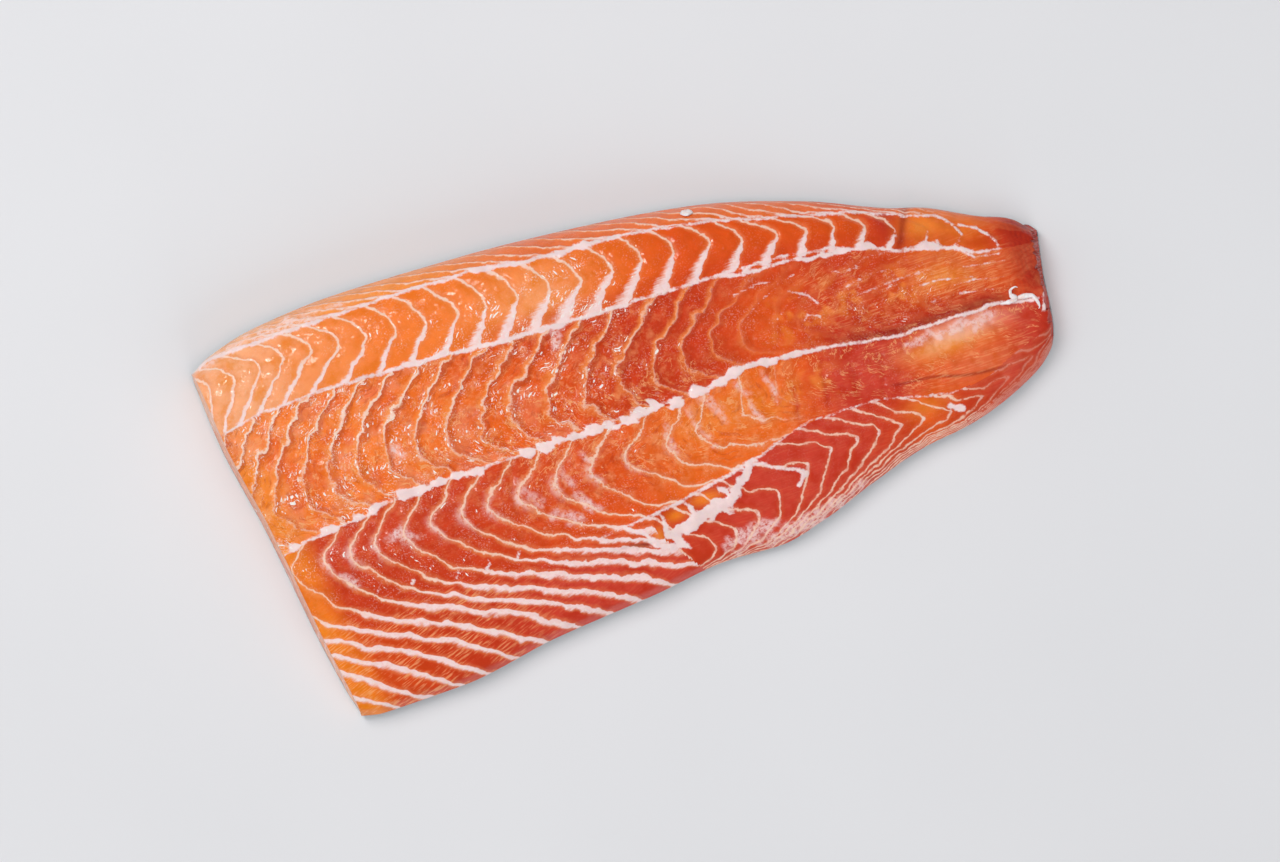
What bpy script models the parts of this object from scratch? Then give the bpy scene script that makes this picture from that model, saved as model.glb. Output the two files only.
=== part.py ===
"""Raw salmon side, tail half, lying skin side down: one solid.

The frame is metres with +Z up. +X runs from the head end to the tail, +Y points to the fish's back,
and the origin lies on the table under the middle of the bounding box.
"""

import math

import bmesh
import bpy
import numpy as np

# Plan outline, as (x, y). The back edge and the belly edge run from the head cut to the tail cut.
BACK_EDGE = (
    (-0.1592, 0.0655),
    (-0.1500, 0.0702),
    (-0.1300, 0.0750),
    (-0.1000, 0.0771),
    (-0.0500, 0.0757),
    (0.0000, 0.0717),
    (0.0400, 0.0660),
    (0.0800, 0.0542),
    (0.1100, 0.0414),
    (0.1200, 0.0383),
    (0.1400, 0.0282),
    (0.1500, 0.0240),
    (0.1592, 0.0150),
)
BELLY_EDGE = (
    (-0.1400, -0.0752),
    (-0.1300, -0.0771),
    (-0.1000, -0.0768),
    (-0.0600, -0.0710),
    (-0.0200, -0.0675),
    (0.0100, -0.0641),
    (0.0300, -0.0650),
    (0.0500, -0.0608),
    (0.0700, -0.0540),
    (0.0950, -0.0470),
    (0.1100, -0.0451),
    (0.1400, -0.0348),
    (0.1500, -0.0272),
    (0.1550, -0.0180),
    (0.1590, -0.0080),
)

# The two ends, as (y, x), at the table.
HEAD_CUT = ((-0.0760, -0.1395), (-0.0450, -0.1450), (0.0000, -0.1508), (0.0400, -0.1574), (0.0660, -0.1590))
TAIL_CUT = ((-0.0260, 0.1515), (-0.0180, 0.1540), (0.0000, 0.1562), (0.0160, 0.1590), (0.0210, 0.1596))

# How far the top edge of each end stands back from the table edge, at the back and at the belly.
HEAD_CUT_LEAN = (0.0014, 0.0034)
TAIL_CUT_LEAN = (0.0060, 0.0030)

# Height of the loin crown along the fish, as (x, height).
LOIN_HEIGHT = (
    (-0.1600, 0.0265),
    (-0.1000, 0.0280),
    (-0.0400, 0.0278),
    (0.0200, 0.0250),
    (0.0800, 0.0195),
    (0.1200, 0.0158),
    (0.1600, 0.0120),
)

# Cross-section from the back rim to the belly rim, as (share of the width, share of the loin height).
BODY_SECTION = (
    (0.000, 0.17),
    (0.012, 0.48),
    (0.050, 0.82),
    (0.100, 0.95),
    (0.160, 1.00),
    (0.235, 0.96),
    (0.320, 0.87),
    (0.430, 0.79),
    (0.535, 0.69),
    (0.600, 0.70),
    (0.720, 0.62),
    (0.840, 0.51),
    (0.930, 0.40),
    (0.980, 0.29),
    (1.000, 0.13),
)
TAIL_SECTION = (
    (0.000, 0.20),
    (0.016, 0.44),
    (0.060, 0.68),
    (0.130, 0.88),
    (0.230, 1.00),
    (0.330, 1.02),
    (0.430, 0.99),
    (0.510, 0.93),
    (0.570, 0.86),
    (0.640, 0.92),
    (0.740, 0.93),
    (0.840, 0.82),
    (0.930, 0.62),
    (0.980, 0.42),
    (1.000, 0.20),
)
TAIL_BLEND = (0.020, 0.130)  # x over which the body section turns into the tail section

# The skin side is flat on the table and turns up round the two long edges.
UNDERSIDE_TURN = 0.0055  # width of that rounded strip

SECTIONS = 84  # rings along the fish
STEPS_ACROSS = 38  # steps from rim to rim
CUT_SOLVE_ROUNDS = 12

FLESH_COLOUR = (0.78, 0.20, 0.06, 1.0)
FLESH_ROUGHNESS = 0.35


def clear_scene():
    """Remove the objects that Blender starts with."""
    for item in list(bpy.data.objects):
        bpy.data.objects.remove(item)


def smooth_through(points):
    """Return a function that passes through (position, value) points without overshooting them."""
    place, value = np.array(points, float).T
    step = np.diff(place)
    rise = np.diff(value) / step
    slope = np.empty_like(value)
    slope[0], slope[-1] = rise[0], rise[-1]
    turning = rise[:-1] * rise[1:] <= 0
    weight_a, weight_b = 2 * step[1:] + step[:-1], step[1:] + 2 * step[:-1]
    with np.errstate(divide="ignore", invalid="ignore"):
        mean = (weight_a + weight_b) / (weight_a / rise[:-1] + weight_b / rise[1:])
    slope[1:-1] = np.where(turning, 0.0, mean)

    def at(where):
        where = np.clip(where, place[0], place[-1])
        i = np.clip(np.searchsorted(place, where, side="right") - 1, 0, len(step) - 1)
        t = (where - place[i]) / step[i]
        return (
            value[i] * (1 + 2 * t) * (1 - t) ** 2
            + step[i] * slope[i] * t * (1 - t) ** 2
            + value[i + 1] * t * t * (3 - 2 * t)
            - step[i] * slope[i + 1] * t * t * (1 - t)
        )

    return at


def eased(where, low, high):
    """Go smoothly from 0 at low to 1 at high."""
    t = np.clip((where - low) / (high - low), 0.0, 1.0)
    return t * t * (3 - 2 * t)


def section_samples(section, width, height):
    """Return (share across, share of height) at even steps along a cross-section's own length."""
    across, up = np.array(section, float).T
    length = np.concatenate([[0.0], np.cumsum(np.hypot(np.diff(across) * width, np.diff(up) * height))])
    even = np.linspace(0.0, length[-1], STEPS_ACROSS + 1)
    return (
        smooth_through(np.column_stack([length, across]))(even),
        smooth_through(np.column_stack([length, up]))(even),
    )


class Fillet:
    """The fillet's surface, worked out from the outline, the loin height and the cross-sections."""

    def __init__(self):
        self.back = smooth_through(BACK_EDGE)
        self.belly = smooth_through(BELLY_EDGE)
        self.head = smooth_through(HEAD_CUT)
        self.tail = smooth_through(TAIL_CUT)
        self.crown = smooth_through(LOIN_HEIGHT)
        width = BACK_EDGE[3][1] - BELLY_EDGE[2][1]
        height = LOIN_HEIGHT[1][1]
        self.body = section_samples(BODY_SECTION, width, height)
        self.peduncle = section_samples(TAIL_SECTION, width, height)

    def shares(self, x):
        """Return the shares across and up of the section at each x, blended from body to tail."""
        blend = eased(x, *TAIL_BLEND)
        return (
            self.body[0] * (1 - blend) + self.peduncle[0] * blend,
            self.body[1] * (1 - blend) + self.peduncle[1] * blend,
        )

    def across_to_y(self, x, across):
        """Return y at a share of the width."""
        return self.back(x) * (1 - across) + self.belly(x) * across

    def row_end(self, cut, start, lean, use_height):
        """Solve where each lengthwise row meets an end cut. Its lean counts only on the top surface."""
        x = np.full(STEPS_ACROSS + 1, start)
        for _ in range(CUT_SOLVE_ROUNDS):
            across, up = self.shares(x)
            y = self.across_to_y(x, across)
            stand_back = lean[0] * (1 - across) + lean[1] * across
            x = cut(y) + (stand_back * up if use_height else 0.0)
        return x

    def sheet(self, top):
        """Return the grid of points of the top or of the underside, as (section, step, xyz)."""
        tail_lean = tuple(-lean for lean in TAIL_CUT_LEAN)
        x0 = self.row_end(self.head, HEAD_CUT[2][1], HEAD_CUT_LEAN, top)
        x1 = self.row_end(self.tail, TAIL_CUT[2][1], tail_lean, top)
        rim = slice(None, None, STEPS_ACROSS)
        if not top:
            x0[rim] = self.row_end(self.head, HEAD_CUT[2][1], HEAD_CUT_LEAN, True)[rim]
            x1[rim] = self.row_end(self.tail, TAIL_CUT[2][1], tail_lean, True)[rim]
        along = np.linspace(0.0, 1.0, SECTIONS)[:, None]
        x = x0 * (1 - along) + x1 * along
        across, up = self.shares(x)
        y = self.across_to_y(x, across)
        z = up * self.crown(x)
        if not top:
            z = self.underside(across, y, x)
        return np.stack([x, y, z], axis=-1)

    def underside(self, across, y, x):
        """Return the height of the skin side: zero, but rounding up to the rims."""
        to_rim = np.minimum(self.back(x) - y, y - self.belly(x))
        rim_up = np.where(across < 0.5, BODY_SECTION[0][1], BODY_SECTION[-1][1])
        tail_up = np.where(across < 0.5, TAIL_SECTION[0][1], TAIL_SECTION[-1][1])
        blend = eased(x, *TAIL_BLEND)
        rim_height = (rim_up * (1 - blend) + tail_up * blend) * self.crown(x)
        inward = np.clip(to_rim / UNDERSIDE_TURN, 0.0, 1.0)
        return rim_height * (1 - np.sqrt(1 - (1 - inward) ** 2))


def sheet_vertices(mesh, grid):
    """Add a grid of vertices to a bmesh, one list for each section."""
    return [[mesh.verts.new(point) for point in ring] for ring in grid]


def loft(top, under):
    """Join the top and underside grids, which share their rims, into one closed bmesh."""
    mesh = bmesh.new()
    over = sheet_vertices(mesh, top)
    below = [
        [ring[0], *(mesh.verts.new(point) for point in points[1:-1]), ring[-1]]
        for ring, points in zip(over, under)
    ]
    for i in range(SECTIONS - 1):
        for j in range(STEPS_ACROSS):
            mesh.faces.new((over[i][j], over[i][j + 1], over[i + 1][j + 1], over[i + 1][j]))
            mesh.faces.new((below[i][j], below[i + 1][j], below[i + 1][j + 1], below[i][j + 1]))
    for end in (0, SECTIONS - 1):
        for j in range(STEPS_ACROSS):
            corners = (over[end][j], below[end][j], below[end][j + 1], over[end][j + 1])
            mesh.faces.new(tuple(dict.fromkeys(corners)))
    bmesh.ops.recalc_face_normals(mesh, faces=mesh.faces)
    return mesh


def flesh_material():
    """Make the plain moist flesh finish."""
    material = bpy.data.materials.new("salmon_flesh")
    material.use_nodes = True
    shader = material.node_tree.nodes["Principled BSDF"]
    shader.inputs["Base Color"].default_value = FLESH_COLOUR
    shader.inputs["Roughness"].default_value = FLESH_ROUGHNESS
    shader.inputs["Metallic"].default_value = 0.0
    return material


def make_fillet():
    """Build the fillet object in its own collection."""
    shape = Fillet()
    mesh = loft(shape.sheet(top=True), shape.sheet(top=False))
    data = bpy.data.meshes.new("fillet")
    mesh.to_mesh(data)
    mesh.free()
    data.shade_smooth()
    data.set_sharp_from_angle(angle=math.radians(40))
    data.materials.append(flesh_material())
    fillet = bpy.data.objects.new("fillet", data)
    group = bpy.data.collections.new("salmon_side")
    bpy.context.scene.collection.children.link(group)
    group.objects.link(fillet)
    return fillet


clear_scene()
make_fillet()
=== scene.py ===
"""Raw salmon fillet, the tail half of a side, lying skin side down on a pale table.

Sizes are in millimetres, in the part's own frame: x runs from the head cut to the tail, y to the
fish's back edge and z up from the table. Meshes are scaled to metres when they are made.
"""

import logging
import math
from dataclasses import dataclass
from enum import Enum, IntEnum
from typing import Callable, Sequence

import bmesh
import bpy
import numpy as np
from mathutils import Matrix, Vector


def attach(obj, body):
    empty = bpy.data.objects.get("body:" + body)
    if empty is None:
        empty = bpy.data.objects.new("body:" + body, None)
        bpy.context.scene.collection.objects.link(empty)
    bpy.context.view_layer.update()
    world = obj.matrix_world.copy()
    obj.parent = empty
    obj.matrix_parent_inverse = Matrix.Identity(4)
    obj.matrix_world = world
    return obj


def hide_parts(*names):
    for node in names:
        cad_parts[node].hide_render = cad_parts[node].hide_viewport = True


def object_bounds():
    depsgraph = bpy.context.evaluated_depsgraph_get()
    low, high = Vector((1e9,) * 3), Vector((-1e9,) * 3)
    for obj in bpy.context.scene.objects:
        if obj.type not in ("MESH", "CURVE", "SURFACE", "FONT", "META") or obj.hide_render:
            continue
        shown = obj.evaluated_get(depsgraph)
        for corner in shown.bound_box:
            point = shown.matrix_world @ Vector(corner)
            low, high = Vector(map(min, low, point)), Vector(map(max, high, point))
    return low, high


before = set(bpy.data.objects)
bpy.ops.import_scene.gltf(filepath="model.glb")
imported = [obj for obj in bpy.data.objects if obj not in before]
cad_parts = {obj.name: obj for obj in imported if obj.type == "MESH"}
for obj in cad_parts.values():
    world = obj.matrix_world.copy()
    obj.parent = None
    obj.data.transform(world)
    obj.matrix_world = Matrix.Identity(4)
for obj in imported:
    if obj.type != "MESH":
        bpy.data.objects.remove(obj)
CAD_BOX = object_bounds()

MM = 0.001
SOLVE_ROUNDS = 12  # enough to settle where a row meets a cut
FLAKE_LENGTH = 10.5  # usual mm from one sheet of fat to the next
FAR = 9.0  # mm outside all fat, past which it makes no difference
BATCH = 16384  # places worked out at a time, to spare memory
FLESH_SLOT, SKIN_SLOT = 0, 1
LOG = logging.getLogger("salmon_fillet")

Array = np.ndarray
Curve = Callable[[Array], Array]
Knots = tuple[tuple[float, float], ...]
Colour = tuple[float, float, float]


# ---- Numbers and noise ----


def curve(knots: Knots) -> Curve:
    """Make a smooth curve through knots that never overshoots them.

    Args:
        knots: (position, value) pairs in rising order of position.

    Returns:
        A function of position, held level beyond the first and last knot.
    """
    place, value = np.array(knots, float).T
    if len(place) == 2:
        return lambda where: np.interp(where, place, value)
    step = np.diff(place)
    rise = np.diff(value) / step
    slope = np.empty_like(value)
    slope[0], slope[-1] = rise[0], rise[-1]
    before, after = 2 * step[1:] + step[:-1], step[1:] + 2 * step[:-1]
    with np.errstate(divide="ignore", invalid="ignore"):
        mean = (before + after) / (before / rise[:-1] + after / rise[1:])
    slope[1:-1] = np.where(rise[:-1] * rise[1:] <= 0, 0.0, mean)

    def at(where: Array) -> Array:
        where = np.clip(where, place[0], place[-1])
        i = np.clip(np.searchsorted(place, where, side="right") - 1, 0, len(step) - 1)
        t = (where - place[i]) / step[i]
        return (
            value[i] * (1 + 2 * t) * (1 - t) ** 2
            + step[i] * slope[i] * t * (1 - t) ** 2
            + value[i + 1] * t * t * (3 - 2 * t)
            - step[i] * slope[i + 1] * t * t * (1 - t)
        )

    return at


def eased(value: Array, low: float, high: float) -> Array:
    """Return 0 below low, 1 above high and a smooth change between them (low may exceed high)."""
    t = np.clip((value - low) / (high - low), 0, 1)
    return t * t * (3 - 2 * t)


def hump(value: Array, centre: float, spread: float) -> Array:
    """Return a bell that is 1 at the centre."""
    return np.exp(-(((value - centre) / spread) ** 2))


def within(value: Array, start: float, full: float, fading: float, end: float) -> Array:
    """Return 1 from full to fading, 0 outside start and end, and a smooth change between them."""
    return eased(value, start, full) * eased(value, end, fading)


def running(steps: Array) -> Array:
    """Return the running total of steps, from 0."""
    return np.concatenate([[0.0], np.cumsum(steps)])


@dataclass(frozen=True)
class Mottle:
    """Smooth random unevenness over the plan.

    Attributes:
        seed: Which random field it is.
        cell: Size of its lumps, in mm.
        stretch: How much longer the lumps are along x than across.
        lattice: How many random values the field has along each side, after which it repeats.
        origin: Where in the field the part's origin lies, in lumps.
    """

    seed: int
    cell: float
    stretch: float = 1.0
    lattice: int = 256
    origin: tuple[float, float] = (113.3, 127.7)

    def at(self, x: Array, y: Array) -> Array:
        """Return the unevenness, from about -1 to 1.

        Args:
            x: Places along, in mm.
            y: Places across, in mm.

        Returns:
            One value for each place.
        """
        values = np.random.default_rng(self.seed).uniform(-1, 1, (self.lattice, self.lattice))
        u = np.asarray(x) / (self.cell * self.stretch) + self.origin[0]
        v = np.asarray(y) / self.cell + self.origin[1]
        i, j = np.floor(u).astype(int), np.floor(v).astype(int)
        s, t = (d * d * d * (d * (6 * d - 15) + 10) for d in (u - i, v - j))
        i0, i1, j0, j1 = (k % self.lattice for k in (i, i + 1, j, j + 1))
        near = values[i0, j0] * (1 - s) + values[i1, j0] * s
        far = values[i0, j1] * (1 - s) + values[i1, j1] * s
        return near * (1 - t) + far * t


def display_colour(red: int, green: int, blue: int) -> Colour:
    """Turn a colour named by 0-255 values into scene-linear values."""
    parts = (channel / 255 for channel in (red, green, blue))
    return tuple(p / 12.92 if p <= 0.04045 else ((p + 0.055) / 1.055) ** 2.4 for p in parts)


class Flesh(Enum):
    """The flesh's colours, as 0-255 display values. PEACH also serves as painted sheen, and SHELL is a pale
    pink partly lightened as painted light on the head cut.
    """

    BLUSH = (250, 206, 192)
    SHELL = (255, 198, 172)
    PEACH = (255, 180, 124)
    APRICOT = (254, 150, 84)
    GOLD = (248, 146, 54)
    AMBER = (250, 138, 24)
    ORANGE = (250, 126, 44)
    TANGERINE = (240, 104, 18)
    RUST = (230, 84, 12)
    VERMILION = (208, 58, 14)
    BRICK = (196, 46, 20)
    ROSE = (208, 62, 42)
    CRIMSON = (140, 10, 10)
    CORAL = (240, 142, 108)
    CHAR = (44, 32, 32)

    def linear(self) -> Array:
        """Return the colour in scene-linear values."""
        return np.array(display_colour(*self.value))


(
    BLUSH, SHELL, PEACH, APRICOT, GOLD, AMBER, ORANGE, TANGERINE,
    RUST, VERMILION, BRICK, ROSE, CRIMSON, CORAL, CHAR,
) = Flesh  # fmt: skip


def placed(name: str, data: bpy.types.ID) -> bpy.types.Object:
    """Make an object of a mesh, a light or a camera and put it in the scene."""
    item = bpy.data.objects.new(name, data)
    bpy.context.scene.collection.objects.link(item)
    return item


# ---- Shape of the side ----


@dataclass(frozen=True)
class SideShape:
    """The fillet's outline, heights and sections, the same as the solid's.

    Attributes:
        back_edge: (x, y) along the thick edge.
        belly_edge: (x, y) along the thin edge.
        head_cut: (y, x) of the head cut at the table.
        tail_cut: (y, x) of the tail cut at the table.
        head_lean: How far the top of the head cut stands back, at the back and at the belly.
        tail_lean: The same for the tail cut.
        loin_height: (x, height) of the loin crown.
        body_section: (share of the width, share of the loin height) over the body.
        tail_section: The same at the tail.
        width: The width that the sections' shares are of, where it is widest.
        height: The loin height there.
        tail_blend: x over which one section turns into the other.
        turn: Width of the strip where the skin side turns up to the rims.
        crown_drop: What the smooth surface keeps free under the solid's top for the relief.
        tail_nicks: Depth of the uneven nicks in the tail cut's top edge.
        corner_cut: How far the tail's back corner is rounded away.
        corner_steps: Steps across which that corner takes up.
        rings: Steps along.
        steps: Steps across.
        cut_rows: Steps down each cut end.
    """

    back_edge: Knots = (
        (-159.2, 65.5), (-150, 70.2), (-130, 75), (-100, 77.1), (-50, 75.7), (0, 71.7), (40, 66),
        (80, 54.2), (110, 41.4), (120, 38.3), (140, 28.2), (150, 24), (159.2, 15),
    )  # fmt: skip
    belly_edge: Knots = (
        (-140, -75.2), (-130, -77.1), (-100, -76.8), (-60, -71), (-20, -67.5), (10, -64.1), (30, -65),
        (50, -60.8), (70, -54), (95, -47), (110, -45.1), (140, -34.8), (150, -27.2), (155, -18), (159, -8),
    )  # fmt: skip
    head_cut: Knots = ((-76, -139.5), (-45, -145), (0, -150.8), (40, -157.4), (66, -159))
    tail_cut: Knots = ((-26, 151.5), (-18, 154), (0, 156.2), (16, 159), (21, 159.6))
    head_lean: tuple[float, float] = (3.0, 5.4)
    tail_lean: tuple[float, float] = (3.0, 1.8)
    loin_height: Knots = (
        (-160, 26.5), (-100, 28), (-40, 27.8), (20, 25), (80, 19.5), (120, 15.8), (160, 12),
    )  # fmt: skip
    body_section: Knots = (
        (0, 0.17), (0.012, 0.48), (0.05, 0.82), (0.1, 0.95), (0.16, 1), (0.235, 0.96), (0.32, 0.87),
        (0.43, 0.79), (0.535, 0.69), (0.6, 0.7), (0.72, 0.62), (0.84, 0.51), (0.93, 0.4), (0.98, 0.29),
        (1, 0.13),
    )  # fmt: skip
    tail_section: Knots = (
        (0, 0.2), (0.016, 0.44), (0.06, 0.68), (0.13, 0.88), (0.23, 1), (0.33, 1.02), (0.43, 0.99),
        (0.51, 0.93), (0.57, 0.86), (0.64, 0.92), (0.74, 0.93), (0.84, 0.82), (0.93, 0.62), (0.98, 0.42),
        (1, 0.2),
    )  # fmt: skip
    width: float = 154
    height: float = 28
    tail_blend: tuple[float, float] = (20, 130)
    turn: float = 3.0
    crown_drop: float = 0.5
    tail_nicks: float = 1.1
    corner_cut: float = 2.6
    corner_steps: int = 14
    rings: int = 372
    steps: int = 186
    cut_rows: int = 18

    def section(self, knots: Knots) -> tuple[Array, Array]:
        """Sample a cross-section at even steps along its own length.

        Args:
            knots: The section, as shares of the width and of the loin height.

        Returns:
            Shares across and shares of the height, one for each step.
        """
        across, up = np.array(knots, float).T
        length = running(np.hypot(np.diff(across) * self.width, np.diff(up) * self.height))
        even = np.linspace(0, length[-1], self.steps + 1)
        shares = [curve(tuple(zip(length, part)))(even) for part in (across, up)]
        return shares[0], shares[1]

    def shares(self, x: Array) -> tuple[Array, Array]:
        """Return the shares across and up at each x, blended from body to tail."""
        body_y, body_z = self.section(self.body_section)
        tail_y, tail_z = self.section(self.tail_section)
        blend = eased(x, *self.tail_blend)
        return body_y * (1 - blend) + tail_y * blend, body_z * (1 - blend) + tail_z * blend

    def plan_y(self, x: Array, across: Array) -> Array:
        """Return y at a share of the width."""
        return curve(self.back_edge)(x) * (1 - across) + curve(self.belly_edge)(x) * across

    def end_row(self, cut: Knots, lean: tuple[float, float]) -> Array:
        """Solve where each lengthwise row of the top meets a cut end.

        Args:
            cut: The cut's line at the table.
            lean: How far its top stands back, at the back and at the belly, signed along x.

        Returns:
            x for each step across.
        """
        x = np.full(self.steps + 1, cut[2][1], float)
        for _ in range(SOLVE_ROUNDS):
            across, up = self.shares(x)
            stand_back = (lean[0] * (1 - across) + lean[1] * across) * up
            x = curve(cut)(self.plan_y(x, across)) + stand_back
        return x

    def underside(self, x: Array, y: Array) -> Array:
        """Return the height of the skin side: the table, turning up to the rims."""
        to_back, to_belly = curve(self.back_edge)(x) - y, y - curve(self.belly_edge)(x)
        blend = eased(x, *self.tail_blend)
        near_back = to_back < to_belly
        body = np.where(near_back, self.body_section[0][1], self.body_section[-1][1])
        tail = np.where(near_back, self.tail_section[0][1], self.tail_section[-1][1])
        rim = (body * (1 - blend) + tail * blend) * curve(self.loin_height)(x)
        inward = np.clip(np.minimum(to_back, to_belly) / self.turn, 0, 1)
        return rim * (1 - np.sqrt(1 - (1 - inward) ** 2))

    def top_grid(self) -> Array:
        """Return the smooth top surface as a grid of points (ring, step, xyz)."""
        step = np.arange(self.steps + 1)
        nicks = np.clip(Mottle(71, 1.7).at(0 * step, np.linspace(0, 60, self.steps + 1)) + 0.3, 0, 1)
        corner = eased(step, self.corner_steps, 0) ** 2
        x0 = self.end_row(self.head_cut, self.head_lean)
        x1 = self.end_row(self.tail_cut, (-self.tail_lean[0], -self.tail_lean[1]))
        x1 = x1 - self.tail_nicks * nicks - self.corner_cut * corner
        along = np.linspace(0, 1, self.rings + 1)[:, None]
        x = x0 * (1 - along) + x1 * along
        across, up = self.shares(x)
        height = up * (curve(self.loin_height)(x) - self.crown_drop * eased(up, 0.3, 0.9))
        return np.stack([x, self.plan_y(x, across), height], axis=-1)


# ---- Muscle pattern: flakes, the sheets between them and the seams of fat ----


class Zone(IntEnum):
    """The bands of muscle between the long seams, from the back edge down."""

    BACK_STRIP = 0
    UPPER_LOIN = 1
    LOWER_LOIN = 2
    FLANK = 3
    VENT = 4


BACK_STRIP, UPPER_LOIN, LOWER_LOIN, FLANK, VENT = Zone


@dataclass(frozen=True)
class FatSeam:
    """A long seam of fat that runs from the head cut to the tail.

    Attributes:
        line: (x, y) along its middle.
        thickness: (x, mm) along it.
        pads: (x of the middle, length, added thickness, sideways shift) of the thick pads on it.
        holes: (x of the middle, length) of the gaps of flesh inside it.
        ragged: How uneven its edges are, in mm.
        seed: Which unevenness it has.
    """

    line: Knots
    thickness: Knots
    pads: tuple[tuple[float, float, float, float], ...] = ()
    holes: tuple[tuple[float, float], ...] = ()
    ragged: float = 0.5
    seed: int = 1

    def y_at(self, x: Array) -> Array:
        """Return where the seam's middle is at each x."""
        return curve(self.line)(x)

    def depth_outside(self, x: Array, y: Array) -> Array:
        """Return how far each place is outside the seam, negative inside it, in mm.

        Args:
            x: Places along.
            y: Places across.

        Returns:
            Distance in mm.
        """
        slope = (self.y_at(x + 1) - self.y_at(x - 1)) / 2
        half = curve(self.thickness)(x) / 2
        wander = 0.45 * Mottle(self.seed, 5).at(x, 0 * x)
        for middle, length, added, shift in self.pads:
            here = 1 - eased(np.abs(x - middle + 0.5 * (y - self.y_at(x))), length * 0.3, length * 0.6)
            half = half + added / 2 * here
            wander = wander + shift * here
        rough = Mottle(self.seed + 1, 2.4, 1.3).at(x, y) + 0.5 * Mottle(self.seed + 2, 1.2, 1.2).at(x, y)
        share = eased(half, 0.2, 1.4)
        middle = y - self.y_at(x) - wander
        outside = np.abs(middle) / np.sqrt(1 + slope * slope) - half + self.ragged * share * rough
        for centre, length in self.holes:
            gap = np.hypot((x - centre - 0.6 * middle) / (length / 2), (middle - 0.25) / 0.85)
            outside = np.maximum(outside, 1.1 * (1 - gap))
        return outside


@dataclass(frozen=True)
class FatBlot:
    """A lump, streak or film of fat that follows a short path.

    Attributes:
        path: (x, y, radius) along it.
        whiteness: How opaque it is, from 0 to 1.
        ragged: How uneven its edge is, in mm.
    """

    path: tuple[tuple[float, float, float], ...]
    whiteness: float
    ragged: float

    def depth_outside(self, x: Array, y: Array) -> Array:
        """Return how far each place is outside the blot, negative inside it, in mm."""
        nearest = np.full(np.shape(x), np.inf)
        for (x0, y0, r0), (x1, y1, r1) in zip(self.path, self.path[1:]):
            run = (x1 - x0) ** 2 + (y1 - y0) ** 2
            t = np.clip(((x - x0) * (x1 - x0) + (y - y0) * (y1 - y0)) / run, 0, 1)
            gap = np.hypot(x - x0 - t * (x1 - x0), y - y0 - t * (y1 - y0)) - (r0 + t * (r1 - r0))
            nearest = np.minimum(nearest, gap)
        rough = Mottle(31, 2.6).at(x, y) + 0.6 * Mottle(32, 1.3).at(x, y)
        return nearest + self.ragged * rough


@dataclass(frozen=True)
class FlakeBand:
    """One band of flakes. Sheet number k crosses each row of the band at
    lead(k) + upper_reach(k) * upper_run(row) + lower_reach(k) * lower_run(row).

    Attributes:
        lead: (k, x) of each sheet's foremost point.
        upper_run: (row, run) of the limb towards the back.
        lower_run: (row, run) of the limb towards the belly.
        upper_reach: (k, mm) that scales the upper run.
        lower_reach: (k, mm) that scales the lower run.
        apex: (x, row) where the limbs meet, which is moved to row 0.5. None leaves rows alone.
        sheet: Thickness of the thin part of each sheet, in mm.
        flare: (row, mm) that a sheet thickens by along its lower limb.
        flare_along: (x, share) of that thickening.
    """

    lead: Knots
    upper_run: Knots
    lower_run: Knots
    upper_reach: Knots = ((0, 1), (1, 1))
    lower_reach: Knots = ((0, 1), (1, 1))
    apex: Knots | None = None
    sheet: float = 0.7
    flare: Knots = ((0, 0), (1, 0))
    flare_along: Knots = ((0, 1), (1, 1))

    def row(self, x: Array, share: Array) -> Array:
        """Return the row, with the apex moved to 0.5 where the band has one."""
        if self.apex is None:
            return share
        apex = curve(self.apex)(x)
        return np.where(share < apex, 0.5 * share / apex, 0.5 + 0.5 * (share - apex) / (1 - apex))

    def phase(self, x: Array, row: Array) -> Array:
        """Return the running number of the sheet at each place, whole on a sheet.

        Args:
            x: Places along, in mm.
            row: Their rows.

        Returns:
            The running number, with its fraction between two sheets.
        """
        step = 0.25
        k = np.arange(self.lead[0][0], self.lead[-1][0] + 0.1, step)
        lead = curve(self.lead)(k)
        upper, lower = curve(self.upper_reach)(k), curve(self.lower_reach)(k)
        places = np.ravel(x)
        up_run, low_run = np.ravel(curve(self.upper_run)(row)), np.ravel(curve(self.lower_run)(row))
        number = np.empty(len(places))
        for start in range(0, len(places), BATCH):
            part = slice(start, start + BATCH)
            cross = lead + upper * up_run[part, None] + lower * low_run[part, None]
            here = places[part]
            i = np.clip((cross < here[:, None]).sum(axis=1), 1, len(k) - 1)
            at = np.arange(len(here))
            low, high = cross[at, i - 1], cross[at, i]
            number[part] = k[i - 1] + step * np.clip((here - low) / np.maximum(high - low, 0.05), -8, 8)
        return number.reshape(np.shape(x))

    def thickness(self, x: Array, row: Array) -> Array:
        """Return how thick the sheets are, in mm."""
        return self.sheet + curve(self.flare)(row) * curve(self.flare_along)(x)


BACK_SEAM = FatSeam(
    line=(
        (-160, 66), (-150, 68.2), (-130, 69), (-90, 69.4), (-48, 68.6), (-18, 64.9), (7, 64), (22, 62),
        (43.5, 58), (63.7, 52.3), (89, 46.4), (104, 40.6), (118, 35.2), (131, 29.1), (145, 21), (160, 14),
    ),
    thickness=(
        (-160, 0.9), (-135, 1.1), (-104, 1), (-70, 0.9), (-50, 1.2), (0, 1.4), (20, 0.8), (60, 0.6),
        (90, 0.8), (112, 0.4), (122, -1), (135, -2.5), (160, -3),
    ),
    pads=((-43, 8, 0.8, 0), (-16, 8, 0.8, -0.3), (-4, 6, 0.7, 0)),
    ragged=0.85,
    seed=11,
)  # fmt: skip

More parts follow.
